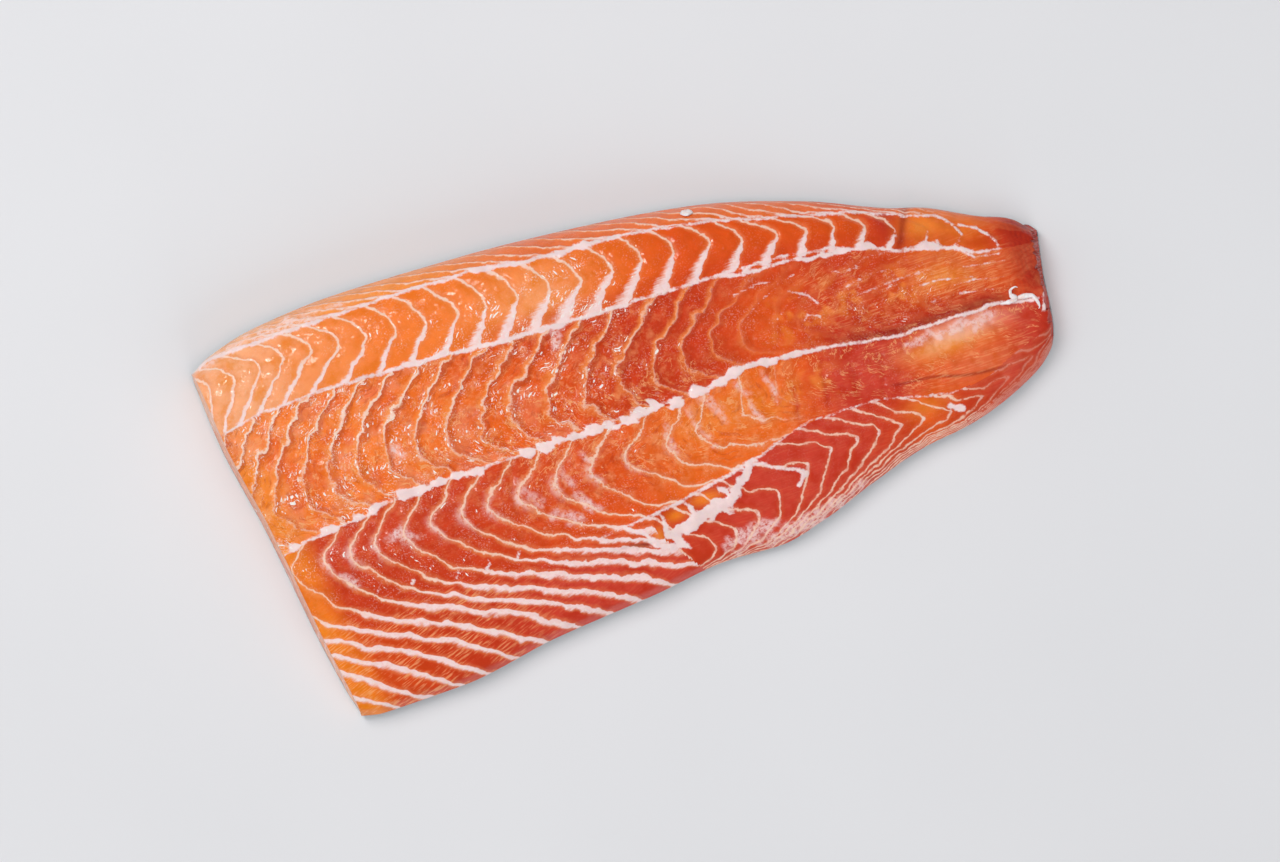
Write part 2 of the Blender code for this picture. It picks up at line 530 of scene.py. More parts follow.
LOIN_SEAM = FatSeam(
    line=(
        (-160, 38.6), (-154, 40.3), (-138, 43.2), (-120, 44.2), (-88, 43.4), (-65, 42), (-52, 40.7),
        (-22, 39.3), (30, 38), (50, 36.8), (70, 35), (88, 31.8), (97, 29.6), (106, 25.5), (122, 21.4),
        (138, 14.6), (160, 12),
    ),
    thickness=(
        (-160, 0.7), (-125, 0.8), (-95, 1.1), (-78, 1.4), (-55, 1.6), (-20, 1.3), (20, 1), (40, 1.2),
        (46, 2.9), (84, 3), (90, 1.1), (105, 0.8), (111, 0.6), (115, 1.3), (124, 1.5), (138, 0.8),
        (143, 0.2), (147, -2), (160, -3),
    ),
    pads=((-79, 6, 1.4, 0.5), (-66, 6, 0.8, 0.2), (-26, 9, 0.8, 0), (97, 5, 2.2, 0.8), (119, 7, 1.2, 0.4)),
    holes=((47, 6), (54.5, 6), (61.5, 5.5), (68, 5), (75, 6), (82, 5)),
    ragged=0.5,
    seed=21,
)  # fmt: skip

BONE_SEAM = FatSeam(
    line=(
        (-150, -9.9), (-141, -7.9), (-128, -6), (-113, -4.8), (-104, -2.9), (-90, -2), (-20, -1.8),
        (12, -1.4), (28, 0.5), (43.5, 2.2), (60, 1), (80, -2), (97.5, -4.7), (131, -4.8), (148, -7.4),
        (160, -9),
    ),
    thickness=(
        (-150, 0.8), (-130, 0.8), (-120, 0.6), (-112, 1.2), (-104, 1), (-100, 0.2), (-97, 1.4),
        (-78, 0.6), (-66, 1.2), (-58, 0.7), (-48, 1), (-12, 1.8), (14, 1.9), (20, 1.7), (55, 1.7),
        (70, 1.1), (88, 0.8), (100, 1), (125, 1.1), (140, 1.5), (149, 1.1), (153, -1), (160, -3),
    ),
    pads=(
        (-141.5, 4, 1.8, 0.4), (-127, 6, 2, 0.5), (-115, 4, 1.4, 0.7), (-108, 5, 1.6, 0.2),
        (-96, 6, 2.8, 0.5), (-90, 7, 2.4, -0.3), (-83, 6, 2, 0.2), (-75, 6, 1.6, 0), (-69, 5, 2, -0.4),
        (-48, 5, 2.6, 0.3), (-41, 6, 3, -0.2), (-35, 5, 1.8, 0.3), (-30, 5, 2.4, 0.2), (-22, 6, 3, 0.4),
        (-16, 5, 2.4, -0.2), (-9, 5, 2.6, -0.5), (-4, 6, 2.8, 0.4), (3, 4, 2, 1.2), (9, 7, 2.6, -0.4),
        (19, 7, 1.8, 0.3), (28, 4, 1, -0.5), (35, 6, 1.4, 0.3), (47, 6, 1.2, -0.2), (58, 4, 0.8, 0.2),
    ),
    holes=((-13, 3), (6.5, 3), (14, 3)),
    ragged=0.9,
    seed=41,
)  # fmt: skip

VENT_SEAM = FatSeam(
    line=(
        (-40, -41), (-22, -39.5), (-8, -38.3), (5, -36.4), (24, -33), (34, -30.6), (46, -26.4), (57, -24.6),
        (80, -24.6), (90, -26.4), (101, -29.5), (110, -31), (122, -30), (135, -25), (150, -20), (160, -16),
    ),
    thickness=(
        (-60, -3), (-42, -1), (-30, 0.4), (-22, 0.7), (10, 1), (28, 1.5), (36, 0.6), (45, 0.3), (60, 0.2),
        (78, 0.1), (90, 0.25), (104, 0.2), (112, -0.3), (120, -1.5), (160, -3),
    ),
    ragged=0.35,
    seed=51,
)  # fmt: skip

BANDS: dict[Zone, FlakeBand] = {
    BACK_STRIP: FlakeBand(
        lead=(
            (-6, -215), (0, -160), (2, -146), (4, -119), (8, -77.7), (12, -29.7), (16, 22.3), (19, 55),
            (23, 98), (26, 137), (32, 205),
        ),
        upper_run=((0, -1), (0.25, -0.8), (0.5, -0.56), (0.75, -0.3), (1, 0)),
        upper_reach=((-6, 40), (4, 37), (16, 34), (26, 30)),
        lower_run=((0, 0), (1, 0)),
        sheet=0.65,
        flare=((0, -0.15), (0.5, 0.05), (0.8, 0.35), (1, 0.9)),
    ),
    UPPER_LOIN: FlakeBand(
        lead=(
            (-3, -182), (0, -152.5), (5, -101.7), (10, -45), (15, 15.3), (19, 64.8), (23, 108.6),
            (26, 144), (29, 176),
        ),
        upper_run=((0, -1), (0.12, -0.58), (0.25, -0.25), (0.38, -0.06), (0.5, 0), (1, 0)),
        upper_reach=(
            (0, 8), (1.5, 15), (3, 10), (10, 9.5), (12, 7), (16, 6.5), (19, 10), (22, 9.5), (26, 8),
        ),
        lower_run=((0, 0), (0.5, 0), (0.6, -0.17), (0.75, -0.47), (1, -1)),
        lower_reach=(
            (0, 5), (2, 13), (4, 16), (7, 11), (11, 8.5), (14, 10), (17, 8.5), (19, 6), (21, 3), (24, 6),
            (26, 2),
        ),
        apex=(
            (-150, 0.4), (-120, 0.37), (-68, 0.5), (-20, 0.5), (15, 0.43), (65, 0.4), (100, 0.38),
            (132, 0.5),
        ),
        sheet=0.8,
        flare=((0, 0.4), (0.15, 0), (0.5, 0.1), (0.58, 0.7), (0.7, 2), (0.85, 3), (1, 3.8)),
        flare_along=(
            (-155, 0.15), (-100, 0.2), (-70, 0.4), (-50, 0.75), (-35, 1.05), (20, 0.9), (40, 0.7),
            (95, 0.45), (140, 0.2),
        ),
    ),
    LOWER_LOIN: FlakeBand(
        lead=(
            (-4, -205), (0, -164.7), (3, -131.7), (6, -98.3), (9, -62), (12, -22), (14, 6), (18, 52),
            (22, 97), (28, 165),
        ),
        upper_run=((0, 24), (0.2, 14.5), (0.45, 4), (0.62, 0.6), (0.72, 0), (1, 0)),
        upper_reach=((0, 1), (14, 1), (18, 1.4), (22, 2.2)),
        lower_run=((0, 0), (0.72, 0), (0.85, 4), (1, 12)),
        lower_reach=((0, 1), (14, 1), (22, 1.6)),
        sheet=0.8,
    ),
    FLANK: FlakeBand(
        lead=(
            (-8, -236), (-3, -181), (0, -145), (1, -132.5), (3, -113), (5, -90), (7, -68), (9, -43),
            (11, -13), (13, 15), (14, 33), (18, 76), (26, 165),
        ),
        upper_run=((0, 14), (5, 10), (8, 7), (11.5, 3), (14, 0.8), (16, 0), (80, 0)),
        upper_reach=((0, 1), (12, 1), (14, 0.2), (20, 0.2)),
        lower_run=(
            (0, 0), (16, 0), (20.7, 1.5), (26, 5.6), (32, 11), (37, 17.5), (42, 26), (48, 39), (54, 52),
            (60, 65), (66, 75), (80, 98),
        ),
        lower_reach=((-8, 0.8), (-3, 0.87), (1, 1), (3, 1.12), (5, 1.3), (8, 1.45), (11, 1.5), (16, 1.6)),
        sheet=0.58,
        flare=((0, 0), (14, 0.1), (18, -0.12), (32, 0.05), (41, 0.8), (50, 1.4), (80, 1.25)),
        flare_along=((-150, 0.9), (-60, 1), (-20, 1.1), (0, 0.8), (30, 0.3)),
    ),
    VENT: FlakeBand(
        lead=(
            (-4, -34), (0, 7.3), (3, 36), (4, 48.7), (8, 87.7), (9, 96), (11, 119.3), (14, 152),
            (18, 196), (24, 262),
        ),
        upper_run=((0, -1), (0.25, -0.52), (0.42, -0.1), (0.5, 0), (1, 0)),
        upper_reach=((0, 20), (6, 19), (12, 16)),
        lower_run=((0, 0), (0.5, 0), (0.62, -0.3), (0.75, -0.9), (0.86, -2.2), (1, -5)),
        lower_reach=((0, 4), (3, 6), (5, 9), (10, 11), (14, 14)),
        apex=((5, 0.8), (26, 0.56), (48, 0.38), (60, 0.35), (90, 0.46), (120, 0.45)),
        sheet=0.65,
        flare=((0, 0.5), (0.2, 0), (0.45, 0), (0.52, 0.5), (0.6, 0), (1, 0)),
    ),
}  # fmt: skip


def blots(*rows: tuple) -> tuple[FatBlot, ...]:
    """Make a blot of each row, which holds its whiteness, its raggedness and its path."""
    return tuple(FatBlot(tuple(path), whiteness, ragged) for whiteness, ragged, *path in rows)


TEAR_FAT = blots(
    (0.95, 1, (29, -32.6, 0.8), (27, -35, 1.5), (22.5, -38.6, 1.6), (18, -42.4, 2.6), (11, -44, 2.4),
     (4, -46, 2.1), (-5, -47.6, 2.2)),
    (0.95, 0.8, (18, -43, 2), (17, -46.5, 1.2)),
    (0.9, 0.9, (-6, -48.6, 1.5), (-5.5, -52.5, 1.7), (-2, -54.8, 0.8)),
    (0.9, 0.5, (-22, -41.3, 0.4), (-17.5, -43, 0.8), (-15.2, -47, 1), (-13.6, -50.4, 1), (-8, -52, 1.4)),
    (0.9, 0.4, (-8.4, -39.3, 0.4), (-8.2, -43, 0.7), (-8.6, -48, 1.2)),
    (0.9, 0.4, (1.5, -38.6, 0.3), (3.4, -41, 0.6), (3, -45, 0.8)),
    (0.9, 0.5, (14.5, -36.5, 0.3), (17.6, -39.5, 0.9), (18, -43, 1.2)),
    (0.9, 0.4, (29, -32.5, 0.9), (33, -33.6, 0.5), (38, -37, 0.4), (46, -40.5, 0.5)),
    (0.9, 0.4, (46, -40.5, 0.5), (47.5, -42, 1), (44, -45.5, 0.6)),
)  # fmt: skip

BELLY_FILMS = blots(
    (0.75, 1.6, (11, -58.5, 0.8), (17, -57.4, 2), (24, -56.6, 2.2), (31, -55.4, 1.4)),
    (0.6, 1.4, (14, -62, 1), (22, -60.6, 1.2), (30, -60.5, 1)),
    (0.75, 1.3, (26, -62, 1), (34, -61.4, 2), (46, -59, 2.2), (57, -55.8, 1.7), (66, -52.6, 0.8)),
)  # fmt: skip

FLANK_FAT = blots(
    (0.8, 1.1, (-107.5, -16.9, 1), (-104, -15.4, 1.7), (-101.5, -13, 0.6)),
    (0.7, 0.8, (-101.5, -13, 0.5), (-100, -16.5, 0.7), (-97, -19, 0.4)),
    (0.7, 1, (-128.5, -23.8, 1), (-126.5, -26, 1.4), (-124.5, -28.5, 0.7)),
    (0.7, 1.4, (-46, -27.5, 1), (-43, -29, 1.4), (-38, -31, 1.2)),
    (0.7, 1.1, (-34.5, -25, 0.6), (-33, -28, 1.4), (-30, -29.6, 0.9)),
    (0.6, 1.4, (-29, -9, 1.2), (-27.5, -12, 1.4)),
    (0.45, 1.4, (-54, -12, 1), (-53, -17, 1.2), (-50, -21, 0.8)),
    (0.55, 0.9, (-38.5, -10, 0.4), (-37, -17, 0.5), (-35.4, -23, 1)),
    (0.45, 1.2, (4.5, -6, 0.3), (3, -13, 0.7), (4.5, -19, 0.3)),
    (0.5, 1, (13, -6, 0.3), (14.6, -13, 0.5), (18.6, -21, 0.3)),
    (0.7, 0.7, (33.5, -2.5, 0.3), (36.2, -8, 0.35), (36.4, -13, 0.4), (38.6, -19, 0.2)),
    (0.65, 0.7, (43.8, -1.5, 0.3), (46.4, -8, 0.4), (46, -14, 0.2)),
    (0.45, 1.4, (20, -4, 0.3), (24, -8, 1), (25.5, -14, 0.4)),
    (0.6, 1.8, (98, -8.6, 0.6), (110, -8.8, 1.5), (122, -8.8, 1.7), (133, -8, 0.8)),
    (0.85, 0.5, (107, -35.6, 1), (110.5, -37.6, 1.2)),
    (0.95, 0.5, (151, -12.6, 0.8), (153.5, -9.8, 1.3), (154.6, -7, 0.8)),
    *((0.85, 0.25, (x, y, 0.4), (x + 1.4, y + 1.6, 0.35), (x + 1.8, y + 3, 0.15))
      for x, y in ((-118, -33.4), (-104.5, -34.6), (-88, -37.3), (-76.5, -38.2), (-64.6, -38.2))),
)  # fmt: skip

TAIL_THREADS = blots(
    *((0.85, 0.3, *path) for path in (
        ((79, 26.4, -0.1), (84, 24.6, 0.1), (92, 24.2, -0.2)),
        ((62, 24.4, -0.1), (69, 20.6, 0), (72, 16.2, -0.2)),
        ((82, 18.6, -0.2), (94, 20.6, 0.1), (106, 19.4, -0.2)),
        ((88, 14.4, -0.2), (98, 15.6, 0), (112, 14.6, -0.2)),
        ((106, 10.6, -0.2), (118, 10.2, 0.1), (130, 7.4, -0.2)),
        ((122, 6.6, -0.2), (130, 6.2, 0.1), (142, 3.4, -0.2)),
        ((112, 3.4, -0.2), (122, 3.2, 0), (136, 0.6, -0.2)),
        ((128, 12, -0.2), (136, 10.4, 0.1), (143, 9.4, -0.2)),
        ((41.8, 28.7, -0.2), (53, 30.6, 0.1), (59.3, 28.7, -0.2)),
        ((45.5, 20.6, -0.2), (55.6, 25.6, 0.1), (66.8, 29.4, -0.2)),
        ((54.3, 14.3, -0.2), (60.6, 19.3, 0.1), (69.4, 21.8, -0.2)),
        ((63.4, 9.6, -0.2), (66.6, 13.6, 0.1), (71.4, 11.4, 0), (70.8, 8, -0.2)),
        ((88.2, 24.3, -0.2), (93.2, 26.9, 0.1), (103.2, 26.2, -0.2)),
        ((98.2, 13.1, -0.2), (103.2, 15.6, 0.1), (115.7, 14.9, -0.2)),
    ))
)  # fmt: skip

LOIN_FAT = blots(
    (0.75, 0.9, (-94.2, 14.4, 1.4), (-93, 12.6, 1.2)),
    (0.6, 1.2, (-14, 48, 1.2), (-18, 43.5, 1.8), (-22, 40, 1.6)),
    (0.75, 1, (-24, 39, 1.4), (-25.4, 34, 1.5), (-26.4, 31, 0.8)),
    (0.75, 1.2, (-133, 70.4, 0.8), (-124, 71.4, 1.6), (-114, 71.8, 1.8), (-107, 70.6, 0.8)),
    (0.6, 1.2, (-156, 66.6, 0.6), (-146, 69, 0.9), (-134, 71, 0.9)),
    (0.6, 0.9, (-118, 73.6, 0.4), (-106, 73.4, 0.6), (-96, 72.4, 0.3)),
    (0.9, 0.2, (108, 25.4, 0.3), (113, 24.6, 0.35), (117.5, 25.6, 0.3), (119.5, 28.8, 0.2)),
    (0.85, 0.25, (116.5, 35.6, 0.2), (124, 33.6, 0.3), (129, 28.4, 0.3), (131, 23.4, 0.25),
     (127.5, 20.6, 0.15)),
    (0.85, 0.25, (131, 27.6, 0.15), (137, 24, 0.3), (141.4, 19, 0.35), (142.6, 15.4, 0.2)),
    (0.85, 0.3, (122, 21.6, 0.5), (121.4, 24.2, 0.2)),
    (0.85, 0.3, (129, 17.8, 0.2), (133, 14, 0.25), (142, 12.4, 0.2)),
)  # fmt: skip

FAT_BLOTS: tuple[FatBlot, ...] = (*TEAR_FAT, *BELLY_FILMS, *FLANK_FAT, *TAIL_THREADS, *LOIN_FAT)

# How far each zone's sheets sway from side to side, in mm.
JAG: dict[Zone, float] = {
    BACK_STRIP: 0.8,
    UPPER_LOIN: 0.7,
    LOWER_LOIN: 1.5,
    FLANK: 0.9,
    VENT: 0.8,
}


# (x, y) of the middle of each small fold in the tail half of the flank.
FLANK_FOLDS = ((52, -14), (64, -16), (76, -17), (86, -19))


def zone_of(x: Array, y: Array) -> Array:
    """Return the number of the zone that each place is in."""
    zone = np.full(np.shape(x), BACK_STRIP)
    zone[y < BACK_SEAM.y_at(x)] = UPPER_LOIN
    zone[y < LOIN_SEAM.y_at(x)] = LOWER_LOIN
    zone[y < BONE_SEAM.y_at(x)] = FLANK
    border = -12 + 0.67 * np.clip(-46 - y, 0, 30)
    zone[(y < VENT_SEAM.y_at(x)) & (x > border)] = VENT
    return zone


def pick_by_zone(zone: Array, values: dict[Zone, Array | float]) -> Array:
    """Return the value of the zone that each place is in, or 0 for a zone that has none.

    Args:
        zone: Zone numbers.
        values: Each zone's values at all the places.

    Returns:
        One value for each place.
    """
    picked = np.zeros(np.shape(zone))
    for named, value in values.items():
        picked = np.where(zone == named, value, picked)
    return picked


def past_fold(x: Array, y: Array, at: float) -> Array:
    """Return how far each place is past the flank's fold at an x, in mm."""
    return x - at - 0.16 * (y + 16) - 0.9 * Mottle(81, 5).at(y, y)


def past_crease(x: Array, y: Array) -> Array:
    """Return how far each place is past the crease across the upper loin near the tail, in mm."""
    return x - 110.5 - 0.5 * (y - 32)


def tear_reach(x: Array, y: Array, half_length: float, middle: float) -> Array:
    """Return how far each place is from the tear's middle, where 1 is its rim.

    Args:
        x: Places along, in mm.
        y: Places across, in mm.
        half_length: Half of the tear's length.
        middle: y of its middle.

    Returns:
        The distance, as a share of the tear's size.
    """
    return np.hypot((x + 22) / half_length, (y - middle + 0.13 * (x + 22)) / 1.5)


@dataclass
class Patch:
    """A grid of surface points, each with its place in the muscle pattern.

    Attributes:
        points: (row, column, xyz), in mm.
        x: Place along in the pattern. It runs on down a cut face, because the sheets lean.
        y: Place across in the pattern.
        strip: Share of the way from the back rim to the back seam, along the surface.
        wash: Colour laid over the flesh's own.
        wash_share: How much of it.
        plain: How far the fat lines and streaks are left out.
    """

    points: Array
    x: Array
    y: Array
    strip: Array
    wash: Flesh = BLUSH
    wash_share: Array | float = 0.0
    plain: float = 0.0

    def tinted(self, colour: Array) -> Array:
        """Return a colour for every point with the wash laid over it."""
        share = np.broadcast_to(self.wash_share, self.x.shape)[..., None]
        return colour * (1 - share) + self.wash.linear() * share

    def band_rows(self, side: SideShape) -> dict[Zone, Array]:
        """Return each zone's row at every point."""
        x, y = self.x, self.y
        back, loin, bone, vent = (s.y_at(x) for s in (BACK_SEAM, LOIN_SEAM, BONE_SEAM, VENT_SEAM))
        belly = curve(side.belly_edge)(x)
        share = {
            BACK_STRIP: self.strip,
            UPPER_LOIN: (back - y) / (back - loin),
            LOWER_LOIN: (loin - y) / (loin - bone),
            FLANK: -y * (1 + eased(x, -22, -5) * (38 / np.clip(-vent, 24, 40) - 1)),
            VENT: (vent - y) / (vent - belly),
        }
        rows = {}
        for zone, band in BANDS.items():
            limit = 80.0 if zone is FLANK else 1.0
            rows[zone] = band.row(x, np.clip(share[zone], 0, limit))
        return rows

    def spacing(self, phase: Array) -> Array:
        """Return how many mm of surface one sheet number takes, at every point."""
        down, right = np.gradient(self.points, axis=0), np.gradient(self.points, axis=1)
        e, f, g = (down * down).sum(-1), (down * right).sum(-1), (right * right).sum(-1)
        a, b = np.gradient(phase, axis=0), np.gradient(phase, axis=1)
        area = np.maximum(e * g - f * f, 1e-9)
        steep = np.sqrt(np.maximum(g * a * a - 2 * f * a * b + e * b * b, 0) / area)
        return 1 / np.clip(steep, 0.02, 2)


# ---- Colours of the flesh, by place ----


Stops = tuple[tuple[float, Flesh], ...]


# (x, colour) along each zone.
ZONE_COLOURS: dict[Zone, Stops] = {
    BACK_STRIP: (
        (-150, PEACH), (-105, GOLD), (-70, AMBER), (-25, TANGERINE), (15, TANGERINE), (40, TANGERINE),
        (70, TANGERINE), (95, RUST), (125, TANGERINE), (150, BRICK),
    ),
    UPPER_LOIN: (
        (-158, PEACH), (-138, PEACH), (-115, APRICOT), (-85, ORANGE), (-20, ORANGE), (5, TANGERINE),
        (30, RUST), (95, RUST), (104, BRICK), (114, RUST), (136, RUST), (146, BRICK),
    ),
    LOWER_LOIN: (
        (-150, APRICOT), (-135, ORANGE), (-105, ORANGE), (-60, TANGERINE), (-30, RUST), (0, VERMILION),
        (25, VERMILION), (55, RUST), (80, VERMILION), (112, RUST), (138, RUST), (152, BRICK),
    ),
    FLANK: (
        (-145, RUST), (-130, VERMILION), (-80, VERMILION), (-15, RUST), (8, TANGERINE), (44, TANGERINE),
        (60, RUST), (70, ROSE), (90, ROSE), (104, RUST), (128, RUST), (142, ROSE), (152, BRICK),
    ),
    VENT: (
        (-15, VERMILION), (15, ROSE), (70, ROSE), (88, VERMILION), (98, RUST), (112, VERMILION),
        (130, ROSE), (150, BRICK),
    ),
}  # fmt: skip

# The same along the flank below y = -40.
BELLY_COLOURS: Stops = ((-145, RUST), (-100, VERMILION), (-50, ROSE), (150, ROSE))


def colour_along(stops: Stops, x: Array) -> Array:
    """Return the linear colour at each x."""
    places = [place for place, _ in stops]
    linear = np.array([colour.linear() for _, colour in stops])
    return np.stack([np.interp(x, places, linear[:, c]) for c in range(3)], axis=-1)


def colours_by_zone(x: Array, y: Array) -> dict[Zone, Array]:
    """Return each zone's colour at every place.

    Args:
        x: Places along, in mm.
        y: Places across, in mm.

    Returns:
        Linear colours for every zone.
    """
    low = eased(-y, 36, 50)[..., None]
    colours = {zone: colour_along(stops, x) for zone, stops in ZONE_COLOURS.items()}
    colours[FLANK] = colours[FLANK] * (1 - low) + colour_along(BELLY_COLOURS, x) * low
    washes = local_washes(x, y)
    return {zone: washed(colour, washes) for zone, colour in colours.items()}


def washed(colour: Array, washes: list[tuple[Flesh, Array]]) -> Array:
    """Lay washes over a zone's own colour, one after another."""
    for wash, share in washes:
        share = np.clip(share, 0, 1)[..., None]
        colour = colour * (1 - share) + wash.linear() * share
    return colour


def local_washes(x: Array, y: Array) -> list[tuple[Flesh, Array]]:
    """Return the local colours: the cut end, the blood line, the tail, the tear, the pale patches, painted
    wet sheen and painted shade in the flank's folds.

    Args:
        x: Places along, in mm.
        y: Places across, in mm.

    Returns:
        Each colour and its share at every place, in the order that they are laid.
    """

    def spot(at_x: float, at_y: float, radius: float, stretch: float = 1) -> Array:
        return hump(np.hypot((x - at_x) / stretch, y - at_y), 0, radius)

    lower_loin = zone_of(x, y) == LOWER_LOIN
    past_head = x + 0.15 * y + 150.8
    above_bone, above_loin = y - BONE_SEAM.y_at(x), y - LOIN_SEAM.y_at(x)
    knife_line = curve(((88, -21.5), (92, -22), (103, -23.2), (118, -27), (131, -28.2), (140, -27)))(x)
    gilt = Mottle(84, 4.5, 1.3).at(x + 0.6 * y, y - 0.4 * x)
    gilt = eased(gilt + 0.7 * Mottle(86, 2.1).at(x + 0.5 * y, y - 0.5 * x), -0.1, 0.8)
    ribs = 0.8 + 0.3 * np.sin(x * 2 * math.pi / 1.5)
    washes = [
        (CORAL, 0.45 * lower_loin * eased(Mottle(82, 4.5).at(x, y), -0.1, 0.5) * eased(x, -5, -45)),
        (VERMILION, 0.5 * lower_loin * spot(10, 24, 14, 1.7)),
        (RUST, 0.5 * lower_loin * eased(Mottle(83, 6).at(x, y), 0, 0.6) * eased(x, 0, -60)),
        (AMBER, eased(past_head, 17, 6) * eased(y, 40, 18) * (0.8 + 0.2 * Mottle(5, 7).at(x, y))),
        (ROSE, 0.55 * spot(76, -19, 11, 1.6)),
        (GOLD, 0.8 * spot(117, 30, 7, 1.1)),
        # Painted highlight: a pale wash standing in for the wet sheen on the upper loin.
        (PEACH, 0.5 * spot(-28, 50, 13, 1.6) * (above_loin > 0)),
        (GOLD, 0.5 * spot(128, 24, 7, 1.6)),
        (GOLD, 0.6 * spot(120, 11, 6, 2.4)),
        (GOLD, 0.8 * spot(113, -13, 5, 3)),
        (AMBER, 0.8 * spot(9, -39.2, 2.4, 2.6)),
        (AMBER, 0.8 * spot(-3.5, -41.6, 2.2, 1.7)),
        (GOLD, 0.5 * gilt * hump(y, 14, 10) * within(x, 44, 60, 130, 142)),
        (GOLD, 0.5 * gilt * hump(y, -11, 7) * within(x, 30, 42, 64, 76)),
        (VERMILION, 0.45 * eased(gilt, 0.4, 0) * hump(y, 13, 14) * within(x, 52, 68, 100, 116)),
        (CORAL, 0.35 * spot(122, -24, 6, 2.6)),
        # Painted highlight: a pale wash for the wet sheen under the bone near the tail.
        (PEACH, 0.55 * spot(112, -13.2, 2.8, 4.6)),
        (BLUSH, 0.55 * spot(120, -9.2, 4, 4)),
        (GOLD, 0.5 * spot(98, -33, 4, 2)),
        (GOLD, 0.5 * spot(24, -12, 7, 3)),
        (BRICK, 0.85 * hump(above_bone, 3, 4.5) * within(x, 58, 80, 134, 148) * (above_bone > 0)),
        (CRIMSON, 0.9 * hump(above_bone, 1.8, 1.9) * within(x, 66, 90, 130, 144)),
        (ROSE, 0.6 * hump(above_bone, -3.5, 2.6) * within(x, 88, 94, 102, 110)),
        (CORAL, 0.3 * (above_loin > 0) * eased(x, -100, -140) * eased(y, 70, 66)),
        (CHAR, 0.9 * spot(154.6, 19.4, 1.3)),
        (VERMILION, 0.5 * hump(above_loin, 3.5, 3.5) * eased(x, -70, -30)),
        (VERMILION, 0.5 * hump(above_loin, -4.5, 4) * eased(x, -90, -20)),
        (CRIMSON, 0.6 * eased(x, 142, 152) * eased(y, -6, 0) * ribs),
        (BRICK, 0.5 * within(x, 60, 80, 125, 142) * hump(above_bone, 6.5, 5)),
    ]
    # Painted shade: darker red along each small fold of the flank, over the folds' real grooves.
    for at, _ in FLANK_FOLDS:
        washes.append((BRICK, 0.75 * hump(past_fold(x, y, at), 0.3, 1) * hump(y, -16, 7)))
    return washes + [
        (CRIMSON, 0.6 * hump(y - knife_line, 0, 0.6) * within(x, 86, 92, 126, 136)),
        (CRIMSON, 0.9 * eased(tear_reach(x, y, 9, -48.4), 1.1, 0.5)),
        (GOLD, 0.7 * hump(np.hypot(x + 11.5, (y + 47) / 1.3), 0, 2.6)),
        (CRIMSON, 0.6 * hump(past_crease(x, y), 0, 1.6) * within(y, 24, 29, 40, 44)),
    ]


# ---- Finishes ----


def operator(operation: str) -> Callable[..., "Signal"]:
    """Make a method that works out one sum of signals, by Blender's name for it."""

    def result(self: "Signal", other: "Value" = None) -> "Signal":
        return self.board.math(operation, self, other)

    return result


@dataclass(frozen=True)
class Signal:
    """A number, vector or colour that runs between a material's nodes. Sums of signals make new ones.

    Attributes:
        board: The nodes it belongs to.
        socket: The output it comes from.
    """

    board: "NodeBoard"
    socket: bpy.types.NodeSocket

    __add__ = operator("ADD")
    __sub__ = operator("SUBTRACT")
    __mul__ = operator("MULTIPLY")
    __truediv__ = operator("DIVIDE")
    __lt__ = operator("LESS_THAN")
    __gt__ = operator("GREATER_THAN")
    __abs__ = operator("ABSOLUTE")
    fraction = operator("FRACT")

    def __rsub__(self, other: "Value") -> "Signal":
        """Return a plain number less this one."""
        return self.board.math("SUBTRACT", other, self)


Value = Signal | float | tuple | None


